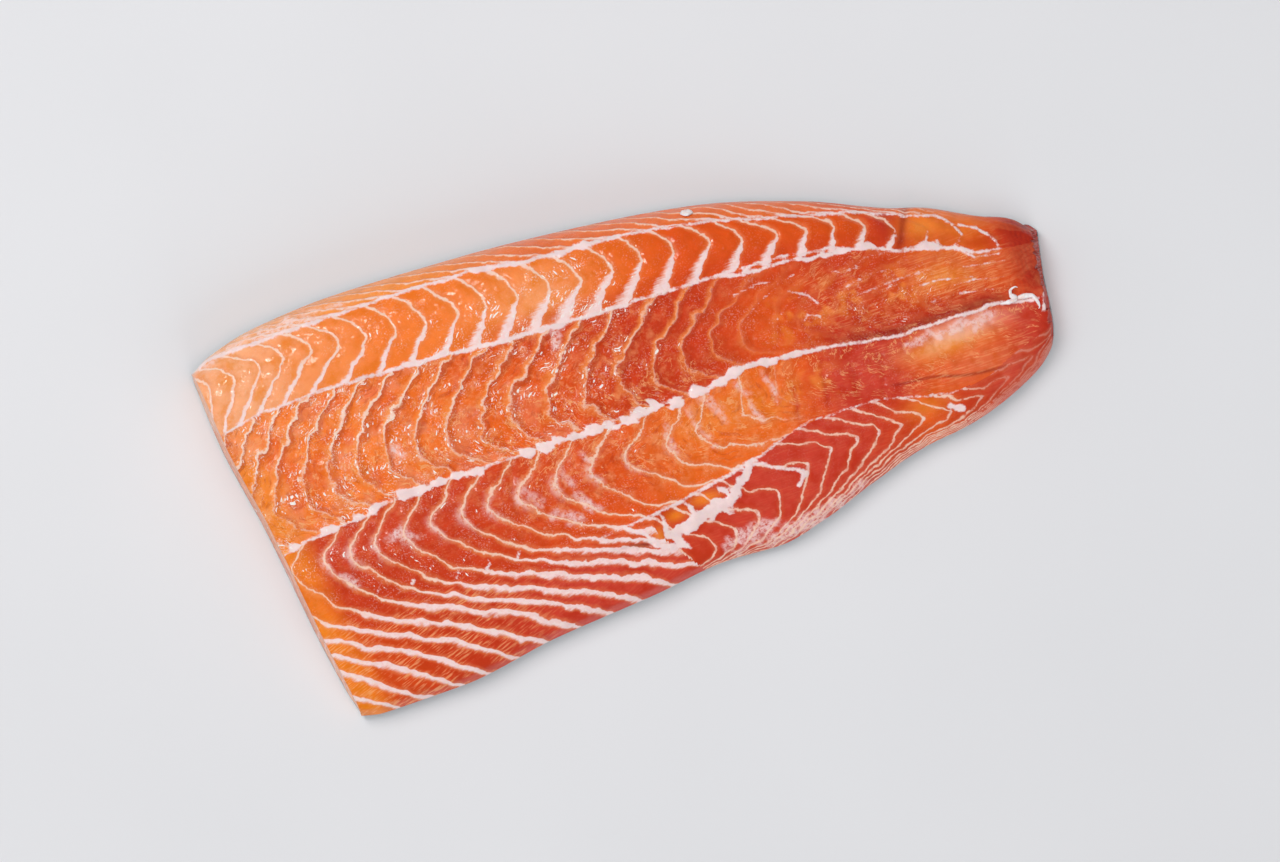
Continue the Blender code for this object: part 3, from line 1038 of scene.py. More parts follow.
class NodeBoard:
    """Builds one material's nodes."""

    MIX_INPUTS = (0, 6, 7)  # the mix node's share and its two colours
    MIX_OUTPUT = 2  # its colour

    def __init__(self, name: str) -> None:
        """Start a material with a Principled shader.

        Args:
            name: The material's name.
        """
        self.material = bpy.data.materials.new(name)
        self.material.use_nodes = True
        self.tree = self.material.node_tree
        self.shader = self.tree.nodes["Principled BSDF"]

    def _feed(self, socket: bpy.types.NodeSocket, value: Value) -> None:
        """Link an input to a signal or set it to a plain value. None leaves it as it is."""
        if isinstance(value, Signal):
            self.tree.links.new(value.socket, socket)
        elif value is not None:
            opaque = isinstance(value, tuple) and socket.type == "RGBA"
            socket.default_value = (*value[:3], 1.0) if opaque else value

    def _node(self, kind: str, *values: Value, **named: Value) -> bpy.types.Node:
        """Add a node and feed its first inputs in order, and others by name."""
        node = self.tree.nodes.new(kind)
        for socket, value in zip(node.inputs, values):
            self._feed(socket, value)
        for name, value in named.items():
            self._feed(node.inputs[name], value)
        return node

    def attribute(self, name: str) -> tuple[Signal, ...]:
        """Return a mesh attribute's three numbers."""
        node = self._node("ShaderNodeAttribute")
        node.attribute_name = name
        return self.split(Signal(self, node.outputs["Vector"]))

    def colour_attribute(self, name: str) -> Signal:
        """Return a mesh attribute as a colour."""
        node = self._node("ShaderNodeAttribute")
        node.attribute_name = name
        return Signal(self, node.outputs["Color"])

    def split(self, vector: Signal) -> tuple[Signal, ...]:
        """Return a vector's x, y and z."""
        return tuple(Signal(self, output) for output in self._node("ShaderNodeSeparateXYZ", vector).outputs)

    def join(self, x: Value, y: Value, z: Value = 0.0) -> Signal:
        """Return a vector made of three numbers."""
        return Signal(self, self._node("ShaderNodeCombineXYZ", x, y, z).outputs[0])

    def scaled(self, value: Value, amount: Value) -> Signal:
        """Return a vector or a colour multiplied by a number."""
        node = self._node("ShaderNodeVectorMath")
        node.operation = "SCALE"
        self._feed(node.inputs[0], value)
        self._feed(node.inputs["Scale"], amount)
        return Signal(self, node.outputs[0])

    def place_mm(self) -> Signal:
        """Return the place on the object, in mm."""
        return self.scaled(Signal(self, self._node("ShaderNodeTexCoord").outputs["Object"]), 1 / MM)

    def math(self, operation: str, a: Value, b: Value = None) -> Signal:
        """Return the result of one sum, by Blender's name for it."""
        node = self._node("ShaderNodeMath")
        node.operation = operation
        self._feed(node.inputs[0], a)
        self._feed(node.inputs[1], b)
        return Signal(self, node.outputs[0])

    def span(self, value: Value, low: float, high: float, at_low: float = 0, at_high: float = 1) -> Signal:
        """Return a smooth change from at_low to at_high as a value goes from low to high."""
        node = self._node("ShaderNodeMapRange", value, low, high, at_low, at_high)
        node.interpolation_type = "SMOOTHSTEP"
        return Signal(self, node.outputs[0])

    def blend(self, share: Value, a: Value, b: Value) -> Signal:
        """Return a colour that goes from a to b by share."""
        node = self._node("ShaderNodeMix")
        node.data_type = "RGBA"
        for index, value in zip(self.MIX_INPUTS, (share, a, b)):
            self._feed(node.inputs[index], value)
        return Signal(self, node.outputs[self.MIX_OUTPUT])

    def layered(self, colour: Value, layers: Sequence[tuple[Value, Value]]) -> Value:
        """Lay colours over a first one, each by its own share, the first layer undermost."""
        for share, over in layers:
            colour = self.blend(share, colour, over)
        return colour

    def richer(self, colour: Value, saturation: float) -> Signal:
        """Return a colour with its saturation multiplied."""
        node = self._node("ShaderNodeHueSaturation", Saturation=saturation, Color=colour)
        return Signal(self, node.outputs[0])

    def noise(self, vector: Value, size: float, detail: float = 2, rough: float = 0.5) -> Signal:
        """Return noise from 0 to 1 whose lumps have a size in the vector's own unit."""
        settings = {"Vector": vector, "Scale": 1 / size, "Detail": detail, "Roughness": rough}
        return Signal(self, self._node("ShaderNodeTexNoise", **settings).outputs["Fac"])

    def cells(self, vector: Value, size: float, randomness: float = 1.0) -> tuple[Signal, Signal]:
        """Return the distance from the nearest cell's middle, in cells, and that cell's random colour."""
        node = self._node("ShaderNodeTexVoronoi")
        node.voronoi_dimensions = "2D"
        for name, value in (("Vector", vector), ("Scale", 1 / size), ("Randomness", randomness)):
            self._feed(node.inputs[name], value)
        return Signal(self, node.outputs["Distance"]), Signal(self, node.outputs["Color"])

    def bump(self, height: Value, rise_mm: float, below: Value = None) -> Signal:
        """Return a normal bent by a height field whose full range stands rise_mm high."""
        node = self._node("ShaderNodeBump", Distance=rise_mm * MM, Height=height, Normal=below)
        return Signal(self, node.outputs[0])

    def set(self, **sockets: Value) -> None:
        """Set or link the shader's inputs, named with underscores for spaces."""
        for name, value in sockets.items():
            self._feed(self.shader.inputs[name.replace("_", " ")], value)


class FleshBoard(NodeBoard):
    """The flesh's nodes, with the mesh's values and the shared noises that its looks come from."""

    def __init__(self, name: str) -> None:
        """Start the flesh material, read the mesh's values and make the noises.

        Args:
            name: The material's name.
        """
        super().__init__(name)
        self.place = self.place_mm()
        self.number, self.spacing, self.thick = self.attribute("sheets")
        self.along, self.across, self.shingle = self.attribute("fibres")
        self.seam, self.film, self.sparkle = self.attribute("fat")
        self.clear, self.streaky, self.halo = self.attribute("marks")
        self.feather, self.squiggle, self.blotch = self.attribute("edges")
        self.own = self.colour_attribute("flesh")
        self.grain = self.noise(self.place, 0.9, 2, 0.6)
        self.mid = self.noise(self.place, 2.2, 2, 0.6)
        self.mottled = self.noise(self.place, 7, 3, 0.6)
        self.flecked = self.noise(self.join(self.along * 0.13, self.across), 0.7, 1, 0.5)


@dataclass(frozen=True)
class FleshFinish:
    """Moist raw salmon: marbled with fat, faintly translucent, with a wet gloss.

    Attributes:
        fat: Colour of thick fat.
        thin_fat: Colour of thin sheets, with flesh showing through.
        glow: Colour of the flesh lit up beside a sheet.
        deep: Colour of the shadowed flesh just past a sheet.
        streak: Colour of the fine fibre streaks and threads.
        straw: Colour of the soft pale patches inside the flakes.
        glint: Colour of the painted glints: small bright flecks painted into the flesh where a wet surface
            would glint.
        bead: Distance between those flecks, in mm.
        ripple: How unevenly the sheets' edges run, in mm.
        soft: Softness of a sheet's clean edge, in mm.
        gloss: Roughness of the wet film.
        scatter: How far light travels under the surface in red, green and blue, in mm.
    """

    fat: Colour = display_colour(255, 226, 224)
    thin_fat: Colour = display_colour(255, 212, 188)
    glow: Colour = display_colour(255, 152, 66)
    deep: Colour = display_colour(176, 26, 2)
    streak: Colour = display_colour(255, 190, 128)
    straw: Colour = display_colour(250, 160, 104)
    glint: Colour = display_colour(255, 244, 238)
    bead: float = 0.85
    ripple: float = 0.8
    soft: float = 0.22
    gloss: float = 0.12
    scatter: tuple[float, float, float] = (2.0, 0.6, 0.3)

    def material(self) -> bpy.types.Material:
        """Make the flesh material."""
        board = FleshBoard("salmon_flesh")
        place = board.place
        ripple = (board.mid - 0.5) * (2 * self.ripple) * board.span(board.streaky, 0.2, 0.7, 1, 0.35)
        ripple = ripple + (board.grain - 0.5) * (board.squiggle * 2.4)
        moved = board.number + ripple / board.spacing
        off = ((moved + 0.5).fraction() - 0.5) * board.spacing
        edge = abs(off) - board.thick * board.span(board.noise(place, 3.1, 1, 0.5), 0.3, 0.7, 0.38, 0.62)
        sheet = self._sheet(board, off, edge)
        solid = self._solid_fat(board)
        wet = board.span(board.noise(place, 8, 2, 0.6), 0.42, 0.62, 0.1, 1) * board.sparkle
        layers = (
            (board.film * board.span(board.noise(place, 1.5, 3, 0.7), 0.3, 0.6), self.fat),
            (sheet, board.blend(board.span(board.thick, 0.65, 1.5), self.thin_fat, self.fat)),
            (solid, board.scaled(self.fat, board.span(board.mottled, 0.3, 0.7, 0.88, 1.03))),
            # Painted sheen: a fine pale dust where the flesh is wet, then the painted glints.
            (board.span(board.noise(place, 0.6, 0, 0.5), 0.58, 0.7) * wet * 0.28, self.glint),
            (self._painted_glints(board, wet), self.glint),
        )
        white = board.math("MAXIMUM", sheet, solid)
        wavy = board.noise(place, 3.2, 2, 0.5)
        drops = board.noise(place, 1.4, 1, 0.5) * wet
        board.set(
            Base_Color=board.layered(self._lean(board, moved.fraction(), edge), layers),
            Roughness=0.5,
            Specular_IOR_Level=0.15,
            Normal=board.bump(wavy, 0.35, board.bump(white, 0.07)),
            Coat_Normal=board.bump(drops, 0.7, board.bump(wavy, 0.25, board.bump(white, 0.08))),
            Coat_Weight=0.5,
            Coat_Roughness=self.gloss,
            Coat_IOR=1.6,
            Subsurface_Weight=0.15,
            Subsurface_Radius=self.scatter,
            Subsurface_Scale=MM,
        )
        return board.material

    def _sheet(self, board: FleshBoard, off: Signal, edge: Signal) -> Signal:
        """Return how much of a fat sheet shows, frayed on its head side and broken where it is faint.

        Args:
            board: The flesh's nodes.
            off: Signed mm from the nearest sheet's middle.
            edge: mm outside its edge, negative inside.

        Returns:
            The share, from 0 to 1.
        """
        fray = (off < 0) * board.feather * board.span(board.thick, 0.8, 2.2, 0.3, 1.6)
        frayed = edge + (board.flecked - 0.5) * (fray * 3.0)
        sheet = board.span(frayed / (fray + self.soft), 1, -0.9)
        kept = board.math("MAXIMUM", board.span(board.mid, 0.34, 0.5), board.span(board.clear, 0.75, 1))
        return sheet * board.clear * kept

    def _lean(self, board: FleshBoard, part: Signal, edge: Signal) -> Signal:
        """Return the lean flesh's colour: mottled, shaded along the sheets and streaked with fibres.

        Args:
            board: The flesh's nodes.
            part: Share of the way from one sheet to the next.
            edge: mm outside the nearest sheet's edge.

        Returns:
            The colour.
        """
        place, own, mottled = board.place, board.own, board.mottled
        colour = board.blend(board.span(mottled, 0.55, 0.3, 0, 0.7), own, board.richer(own, 1.22))
        colour = board.scaled(colour, board.span(mottled, 0.25, 0.75, 0.93, 1.1))
        flow = board.noise(board.join(board.along, board.across * 0.4), 1.7, 2, 0.55)
        patches = board.noise(place, 4.6, 3, 0.6)
        streak = board.span(board.flecked, 0.46, 0.66) * board.streaky * board.span(mottled, 0.35, 0.6)
        wander = board.noise(board.join(board.along, board.across * 0.6), 3, 3, 0.62)
        thread = board.span(abs(wander - 0.5), 0.03, 0.008) * board.squiggle
        thread = thread * board.span(board.noise(place, 5.5, 2, 0.5), 0.46, 0.6)
        layers = (
            (board.span(flow, 0.48, 0.3) * board.blotch * 0.45, self.deep),
            (board.span(board.mid, 0.52, 0.7) * board.blotch * 0.4, self.straw),
            (board.span(patches, 0.48, 0.74) * board.blotch * 0.6, self.straw),
            # Painted shade just past each sheet and painted light on the flake before the next, as the
            # shingled steps would be shaded and lit.
            (board.span(part, 0.34, 0.03) * board.shingle * 0.55, self.deep),
            (board.span(part, 0.72, 0.98) * board.shingle * 0.65, self.glow),
            (board.span(edge, 1.7, 0) * board.halo, self.straw),
            (streak * 0.5, self.streak),
            (thread * 0.6, self.streak),
        )
        return board.layered(colour, layers)

    @staticmethod
    def _solid_fat(board: FleshBoard) -> Signal:
        """Return how much of the seams' and lumps' solid fat shows, with a torn edge."""
        torn = board.seam + (board.mid - 0.5) * 1.6 + (board.grain - 0.5) * 0.9
        return board.span(torn, 0.45, -0.35)

    def _painted_glints(self, board: FleshBoard, wet: Signal) -> Signal:
        """Return where the painted glints are: bright flecks shaped as long little beads, more of them
        where the flesh is wet.
        """
        distance, dice = board.cells(board.join(board.along, board.across * 0.32), self.bead)
        chance, girth, _ = board.split(dice)
        wobble = (board.grain - 0.5) * 0.5
        inside = board.span(girth, 0.4, 1, 0.05, 0.32) - (distance + wobble)
        return board.span(inside, -0.04, 0.04) * (chance * wet > 0.42)


@dataclass(frozen=True)
class SkinFinish:
    """Wet silver-grey salmon skin with small scale pockets.

    Attributes:
        silver: Colour of the belly side.
        slate: Colour of the back side.
        spot: Colour of the back's dark spots.
        scale_size: Width of a scale pocket, in mm.
    """

    silver: Colour = display_colour(178, 180, 182)
    slate: Colour = display_colour(58, 64, 70)
    spot: Colour = display_colour(26, 28, 30)
    scale_size: float = 3.2

    def material(self) -> bpy.types.Material:
        """Make the skin material."""
        board = NodeBoard("salmon_skin")
        place = board.place_mm()
        x, y, _ = board.split(place)
        backward = board.span(y + board.noise(place, 18, 2, 0.6) * 26, -8, 52)
        narrow = x * 0.72
        scales, _ = board.cells(board.join(narrow + y, narrow - y), self.scale_size, randomness=0.3)
        rim = board.span(scales, 0.3, 0.68)
        spots = board.span(board.noise(place, 5, 1, 0.4), 0.64, 0.7)
        colour = board.blend(backward, self.silver, self.slate)
        colour = board.scaled(colour, board.span(rim, 0, 1, 1.1, 0.84))
        board.set(
            Base_Color=board.blend(spots * backward, colour, self.spot),
            Metallic=0.35,
            Roughness=board.span(rim, 0, 1, 0.3, 0.45),
            Normal=board.bump(board.noise(place, 0.6, 2, 0.6), 0.06, board.bump(1.0 - rim, 0.25)),
            Coat_Weight=0.4,
            Coat_Roughness=0.12,
        )
        return board.material


@dataclass(frozen=True)
class FatFinish:
    """Firm white fat and tendon.

    Attributes:
        white: Colour of the fat.
        warm: Colour where flesh shows through it.
    """

    white: Colour = display_colour(255, 246, 246)
    warm: Colour = display_colour(250, 214, 204)

    def material(self) -> bpy.types.Material:
        """Make the fat material."""
        board = NodeBoard("salmon_fat")
        place = board.place_mm()
        blotch = board.noise(place, 1.6, 3, 0.6)
        lift = board.bump(board.noise(place, 0.5, 2, 0.6), 0.12)
        board.set(
            Base_Color=board.blend(board.span(blotch, 0.45, 0.75), self.white, self.warm),
            Roughness=board.span(blotch, 0.2, 0.8, 0.3, 0.5),
            Normal=lift,
            Coat_Weight=0.5,
            Coat_Roughness=0.15,
            Subsurface_Weight=0.2,
            Subsurface_Radius=(1.5, 1.0, 0.8),
            Subsurface_Scale=MM,
        )
        return board.material


@dataclass(frozen=True)
class TableFinish:
    """Plain pale matt table.

    Attributes:
        pale: Its colour.
    """

    pale: Colour = (0.80, 0.80, 0.82)

    def material(self) -> bpy.types.Material:
        """Make the table material."""
        board = NodeBoard("pale_table")
        cloud = board.noise(board.place_mm(), 160, 2, 0.5)
        colour = board.scaled(self.pale, board.span(cloud, 0.2, 0.8, 0.985, 1.015))
        board.set(Base_Color=colour, Roughness=0.8)
        return board.material


# ---- The fillet's body ----


@dataclass
class Relief:
    """Heights that the flakes, seams, cuts and tears add to the smooth surface, in mm.

    Attributes:
        shingle: Step at each sheet of the lower loin.
        groove: Depth of the grooves between the flakes of the upper loin.
        stripe: How proud the belly's fat stripes stand.
        seam: How proud the seams' fat stands.
        blot: How proud the loose lumps of fat stand.
        lumps: Height of the broad unevenness.
        most: What the whole relief never rises above.
    """

    shingle: float = 1.15
    groove: float = 0.35
    stripe: float = 0.3
    seam: float = 0.35
    blot: float = 0.3
    lumps: float = 0.45
    most: float = 0.5

    def height(self, x: Array, y: Array, phase: dict[Zone, Array], spacing: dict[Zone, Array]) -> Array:
        """Return the added height at every place.

        Args:
            x: Places along, in mm.
            y: Places across, in mm.
            phase: Each zone's sheet number there.
            spacing: Each zone's mm of surface for each sheet.

        Returns:
            Heights in mm.
        """
        zone = zone_of(x, y)
        total = self.lumps * (0.6 * Mottle(61, 21, 1.4).at(x, y) + 0.4 * Mottle(62, 9).at(x, y))
        total = total + 0.16 * Mottle(63, 4).at(x, y) + 0.07 * Mottle(64, 2).at(x, y)
        fade = np.ones_like(x)
        for seam in (BACK_SEAM, LOIN_SEAM, BONE_SEAM):
            fade = fade * eased(np.abs(y - seam.y_at(x)), 0.3, 3.5)
        for band in Zone:
            added = self._flakes(band, x, y, phase[band], spacing[band])
            total = total + np.where(zone == band, added * fade, 0)
        for seam, share in ((BACK_SEAM, 0.7), (LOIN_SEAM, 0.5), (BONE_SEAM, 1.6), (VENT_SEAM, 0.5)):
            total = total + self.seam * share * eased(seam.depth_outside(x, y), 0.7, -0.9)
        for blot in FAT_BLOTS:
            total = total + self.blot * blot.whiteness * eased(blot.depth_outside(x, y), 0.8, -0.8)
        return np.minimum(total - self._cuts(x, y), self.most)

    def _flakes(self, band: Zone, x: Array, y: Array, phase: Array, spacing: Array) -> Array:
        """Return the relief of one zone's flakes.

        Args:
            band: The zone.
            x: Places along, in mm.
            y: Places across, in mm.
            phase: The zone's sheet number there.
            spacing: Its mm of surface for each sheet.

        Returns:
            Heights in mm.
        """
        part = phase - np.floor(phase)
        off = np.minimum(part, 1 - part) * spacing
        if band is BACK_STRIP:
            return 0.15 * hump(off, 0, 0.7)
        if band is UPPER_LOIN:
            back, loin = BACK_SEAM.y_at(x), LOIN_SEAM.y_at(x)
            row = BANDS[band].row(x, np.clip((back - y) / (back - loin), 0, 1))
            flare = eased(BANDS[band].thickness(x, row), 0.9, 2.4)
            return -self.groove * hump(off, 0, 1.1) * (1 - 1.7 * flare) + 0.2 * eased(off, 0, 4)
        if band is LOWER_LOIN:
            shifted = phase - 0.9 / spacing
            part = shifted - np.floor(shifted)
            strength = self.shingle * (1 - 0.7 * eased(x, -50, 60)) * (0.8 + 0.4 * Mottle(66, 8).at(x, y))
            return strength * ((part**2.5 - 0.4) * eased(part, 0, 0.12) + 0.5 * eased(part, 0.12, 0))
        if band is FLANK:
            low = eased(-y, 34, 46)
            return (self.stripe * low - 0.25 * (1 - low)) * hump(off, 0, 1.2) + 0.18 * eased(off, 0, 4)
        return -0.22 * hump(off, 0, 0.8)

    @staticmethod
    def _cuts(x: Array, y: Array) -> Array:
        """Return how deep the knife marks, the tear, the folds and the crease go, in mm."""
        knife = hump((x + 96.4) - 0.46 * (y - 10.2), 0, 0.8) * within(y, 1.5, 4, 16, 20)
        score = hump(x + 55.5 - 0.1 * y - 1.2 * Mottle(67, 9).at(y, y), 0, 0.9) * within(y, -27, -23, 7, 11)
        tear = eased(tear_reach(x, y, 8.5, -48.2), 1.2, 0.5)
        folds = 0 * x
        for at, middle in FLANK_FOLDS:
            folds = np.maximum(folds, hump(past_fold(x, y, at), 0, 1.1) * hump(y, middle, 7))
        crease = hump(past_crease(x, y), 0, 1.2) * within(y, 24, 29, 40, 44)
        return 0.7 * knife + 0.6 * score + 1.3 * tear + 0.6 * folds + 0.6 * crease


@dataclass
class FilletBody:
    """The fillet itself: the marbled flesh, its two cut ends and the skin beneath, one closed mesh.

    Attributes:
        side: Its shape.
        relief: Its surface relief.
        sheet_lean: How far a sheet moves along for each mm of depth.
        skin: Thickness of the skin's edge at the cut ends.
        under_rings: Steps along the skin side.
        under_gaps: mm from the rims of the skin side's outer rows, close together where it turns up.
        under_rows: Rows across the rest of the skin side.
        inside: How far inside the solid's box every point stays.
        fibre_slant: How far the belly's muscle fibres are turned from x, in degrees.
        surface: Points of the finished top, once built.
    """

    side: SideShape
    relief: Relief
    sheet_lean: float = 0.8
    skin: float = 0.8
    under_rings: int = 120
    under_gaps: tuple[float, ...] = (0.3, 0.8, 1.5, 2.3, 3.1)
    under_rows: int = 18
    inside: float = 0.01
    fibre_slant: float = 19
    surface: Array | None = None

    def height_at(self, x: Array, y: Array) -> Array:
        """Return the height of the finished flesh at places on it, in mm."""
        flat_x, flat_y = np.ravel(x), np.ravel(y)
        height = np.empty(len(flat_x))
        for i, (at_x, at_y) in enumerate(zip(flat_x, flat_y)):
            away = np.hypot(self.surface[:, 0] - at_x, self.surface[:, 1] - at_y)
            nearest = np.argpartition(away, 4)[:4]
            weight = 1 / (away[nearest] + 0.05)
            height[i] = (self.surface[nearest, 2] * weight).sum() / weight.sum()
        return height.reshape(np.shape(x))

    def build(self) -> bpy.types.Object:
        """Build and dress the fillet.

        Returns:
            The finished object.
        """
        smooth = self.side.top_grid()
        top = self._top_patch(smooth)
        phase, spacing = self._flakes(top)
        points = self._raised(top, phase, spacing)
        self.surface = points.reshape(-1, 3)
        head, tail = self._cut_patch(points, 0), self._cut_patch(points, -1)
        vertices, faces, slots, sheets = self._weld(points, (top, head, tail), (phase, spacing))
        low, high = (np.array(corner) / MM for corner in CAD_BOX)
        vertices = np.clip(vertices, low + self.inside, high - self.inside)
        mesh = bpy.data.meshes.new("salmon_fillet")
        mesh.from_pydata(vertices * MM, [], faces)
        mesh.polygons.foreach_set("material_index", slots)
        mesh.update()
        self._write_attributes(mesh, sheets)
        for finish in (FleshFinish(), SkinFinish()):
            mesh.materials.append(finish.material())
        mesh.shade_smooth()
        self._face_outwards(mesh)
        return placed("salmon_fillet", mesh)

    def _top_patch(self, grid: Array) -> Patch:
        """Make the top surface's patch."""
        x, y = grid[..., 0], grid[..., 1]
        girth = np.zeros(x.shape)
        girth[:, 1:] = np.cumsum(np.linalg.norm(np.diff(grid, axis=1), axis=-1), axis=1)
        seam = BACK_SEAM.y_at(x[:, :60])
        strip = np.empty_like(girth)
        for i, (ring_y, ring_girth) in enumerate(zip(y, girth)):
            full = np.interp(-seam[i].mean(), -ring_y, ring_girth)
            by_plan = (ring_y[0] - ring_y) / max(ring_y[0] - seam[i].mean(), 1.0)
            strip[i] = 0.35 * ring_girth / max(full, 1.0) + 0.65 * by_plan
        return Patch(grid, x, y, strip)

    def _flakes(self, patch: Patch) -> tuple[dict[Zone, Array], dict[Zone, Array]]:
        """Return each zone's sheet numbers and spacing over a patch."""
        rows = patch.band_rows(self.side)
        phase = {zone: BANDS[zone].phase(patch.x, rows[zone]) for zone in Zone}
        spacing = {zone: patch.spacing(phase[zone]) for zone in Zone}
        sway = Mottle(65, 5.5).at(patch.x, patch.y) + 0.55 * Mottle(68, 2.9).at(patch.x, patch.y)
        middle = hump(patch.x, 2, 45) * eased(-patch.y, 2, 9) * eased(patch.y, -42, -32)
        buckle = 1.9 * middle * Mottle(69, 9).at(patch.x, patch.y)
        for zone in Zone:
            flare = BANDS[zone].thickness(patch.x, rows[zone]) - BANDS[zone].sheet
            shift = JAG[zone] * sway
            if zone is UPPER_LOIN:
                shift = shift + 0.42 * np.maximum(flare, 0)
            elif zone is FLANK:
                shift = shift + buckle
            phase[zone] = phase[zone] + shift / spacing[zone]
        return phase, spacing

    def _raised(self, patch: Patch, phase: dict[Zone, Array], spacing: dict[Zone, Array]) -> Array:
        """Return the top surface with its relief, held still at the rims."""
        grid = patch.points
        down, right = np.gradient(grid, axis=0), np.gradient(grid, axis=1)
        normal = np.cross(right, down)
        normal /= np.linalg.norm(normal, axis=-1, keepdims=True)
        normal *= np.sign(normal[grid.shape[0] // 2, grid.shape[1] // 2, 2])
        step = np.arange(grid.shape[1])
        rim = eased(np.minimum(step, step[::-1]), 0, 7)
        ring = np.arange(grid.shape[0])
        ends = 0.35 + 0.65 * eased(np.minimum(ring, ring[::-1]), 0, 3)
        height = self.relief.height(patch.x, patch.y, phase, spacing) * rim * ends[:, None]
        return grid + normal * height[..., None]

    def _cut_patch(self, grid: Array, end: int) -> Patch:
        """Make the patch of a cut end, from the top ring down to the skin.

        Args:
            grid: The raised top surface.
            end: 0 for the head cut, -1 for the tail cut.

        Returns:
            The patch, whose first row is the top ring.
        """
        cut = self.side.head_cut if end == 0 else self.side.tail_cut
        ring = grid[end]
        step = np.arange(len(ring))
        near_rim = np.sqrt(eased(np.minimum(step, step[::-1]), 0, 16))
        foot_x = ring[:, 0] + (curve(cut)(ring[:, 1]) - ring[:, 0]) * near_rim
        foot = np.stack([foot_x, ring[:, 1], self.side.underside(foot_x, ring[:, 1])], axis=-1)
        tall = np.maximum(ring[:, 2] - foot[:, 2], 1e-6)
        last = 1 - np.minimum(self.skin / tall, 0.3 if end == 0 else 0.08)
        shares = np.linspace(0, 1, self.side.cut_rows)[:, None] * last
        shares = np.concatenate([shares, np.ones((1, len(ring)))])
        points = ring * (1 - shares[..., None]) + foot * shares[..., None]
        depth = shares * tall
        inward = 1 if end == 0 else -1
        x = ring[:, 0] + inward * self.sheet_lean * depth
        y = np.broadcast_to(ring[:, 1], x.shape)
        strip = np.broadcast_to(self._top_patch(grid).strip[end], x.shape)
        ragged = Mottle(72, 3).at(y, points[..., 2]) + 0.5 * Mottle(73, 1.4).at(y, points[..., 2])
        inner = np.clip(shares * (1 - shares) * 4, 0, 1) * eased(tall, 1, 5)
        if end == 0:
            points[..., 0] += 0.25 * inner * (ragged + 0.7)
            # The head cut's pale wash is partly its own pale pink and partly painted light, lightening the
            # steep face that gets little light from above.
            pale = 0.7 * eased(depth, 0, 1.6) * (1 - 0.45 * eased(depth, 5, 13))
            near_skin = eased(tall - depth, 2.4, 0.9)
            return Patch(points, x, y, strip, SHELL, pale + 0.18 * near_skin, plain=0.5)
        ribs = np.sin(y * 2 * math.pi / 1.4)
        points[..., 0] -= 0.7 * inner * (ragged + 0.5 * ribs * eased(y, -6, -2) + 0.7)
        return Patch(points, x, y, strip, BRICK, (0.5 + 0.2 * ribs) * eased(depth, 0, 1), plain=1)

    def _weld(self, points: Array, patches: Sequence[Patch], top_fields: tuple) -> tuple:
        """Join the top, the cut ends and the skin side into one closed surface.

        Args:
            points: The raised top grid.
            patches: The top, head and tail patches.
            top_fields: The top's sheet numbers and spacing.

        Returns:
            Vertices in mm, faces, each face's material slot, and the pattern values of each vertex.
        """
        top, head, tail = patches
        rings, steps = points.shape[:2]
        vertices = [points.reshape(-1, 3)]
        number = np.arange(rings * steps).reshape(rings, steps)
        faces, slots = [], []
        count = rings * steps

        def add_grid(index: Array, row_slots: Sequence[int]) -> None:
            quads = np.stack([index[:-1, :-1], index[:-1, 1:], index[1:, 1:], index[1:, :-1]], axis=-1)
            for slot, line in zip(row_slots, quads):
                for quad in line:
                    corners = tuple(dict.fromkeys(int(q) for q in quad))
                    if len(corners) > 2:
                        faces.append(corners)
                        slots.append(slot)

        add_grid(number, [FLESH_SLOT] * (rings - 1))
        fields = [self._gather(top, top_fields, slice(None), slice(None))]
        feet = []
        for patch, ring in ((head, number[0]), (tail, number[-1])):
            rows = patch.points.shape[0]
            index = np.empty((rows, steps), int)
            index[0] = ring
            index[:, 0], index[:, -1] = ring[0], ring[-1]
            fresh = np.arange((rows - 1) * (steps - 2)).reshape(rows - 1, steps - 2) + count
            index[1:, 1:-1] = fresh
            count += fresh.size
            vertices.append(patch.points[1:, 1:-1].reshape(-1, 3))
            fields.append(self._gather(patch, self._flakes(patch), slice(1, None), slice(1, -1)))
            add_grid(index, [FLESH_SLOT] * (rows - 2) + [SKIN_SLOT])
            feet.append(index[-1])
        flesh_count = count
        under, under_points = self._skin_side(count)
        vertices.append(under_points)
        add_grid(under, [SKIN_SLOT] * (under.shape[0] - 1))
        everything = np.concatenate(vertices)
        seams = (
            (number[:, 0], under[:, 0]),
            (number[:, -1], under[:, -1]),
            (feet[0], under[0]),
            (feet[1], under[-1]),
        )
        for fine, coarse in seams:
            stitches = stitched(fine, coarse, everything)
            faces.extend(stitches)
            slots.extend([SKIN_SLOT] * len(stitches))
        sheets = {name: np.concatenate([f[name] for f in fields]) for name in fields[0]}
        sheets["count"] = flesh_count
        return everything, faces, slots, sheets

    def _skin_side(self, first: int) -> tuple[Array, Array]:
        """Lay out the skin side's own grid, a little inside the rims and the cut ends.

        Args:
            first: The number of its first vertex.

        Returns:
            Vertex numbers as a grid, and the points.
        """
        gaps = np.array(self.under_gaps)
        inner = np.linspace(0, 1, self.under_rows + 2)[1:-1]
        across = np.concatenate([0 * gaps, inner, 1 + 0 * gaps])
        shift = np.concatenate([-gaps, gaps[-1] * (2 * inner - 1), gaps[::-1]])
        along = np.linspace(0.004, 0.996, self.under_rings + 1)[:, None]
        head, tail = curve(self.side.head_cut), curve(self.side.tail_cut)
        x = head(0) * (1 - along) + tail(0) * along + 0 * across
        for _ in range(SOLVE_ROUNDS):
            y = self.side.plan_y(x, across) + shift
            x = head(y) * (1 - along) + tail(y) * along
        grid = np.stack([x, y, self.side.underside(x, y)], axis=-1)
        return np.arange(grid.shape[0] * grid.shape[1]).reshape(grid.shape[:2]) + first, grid.reshape(-1, 3)

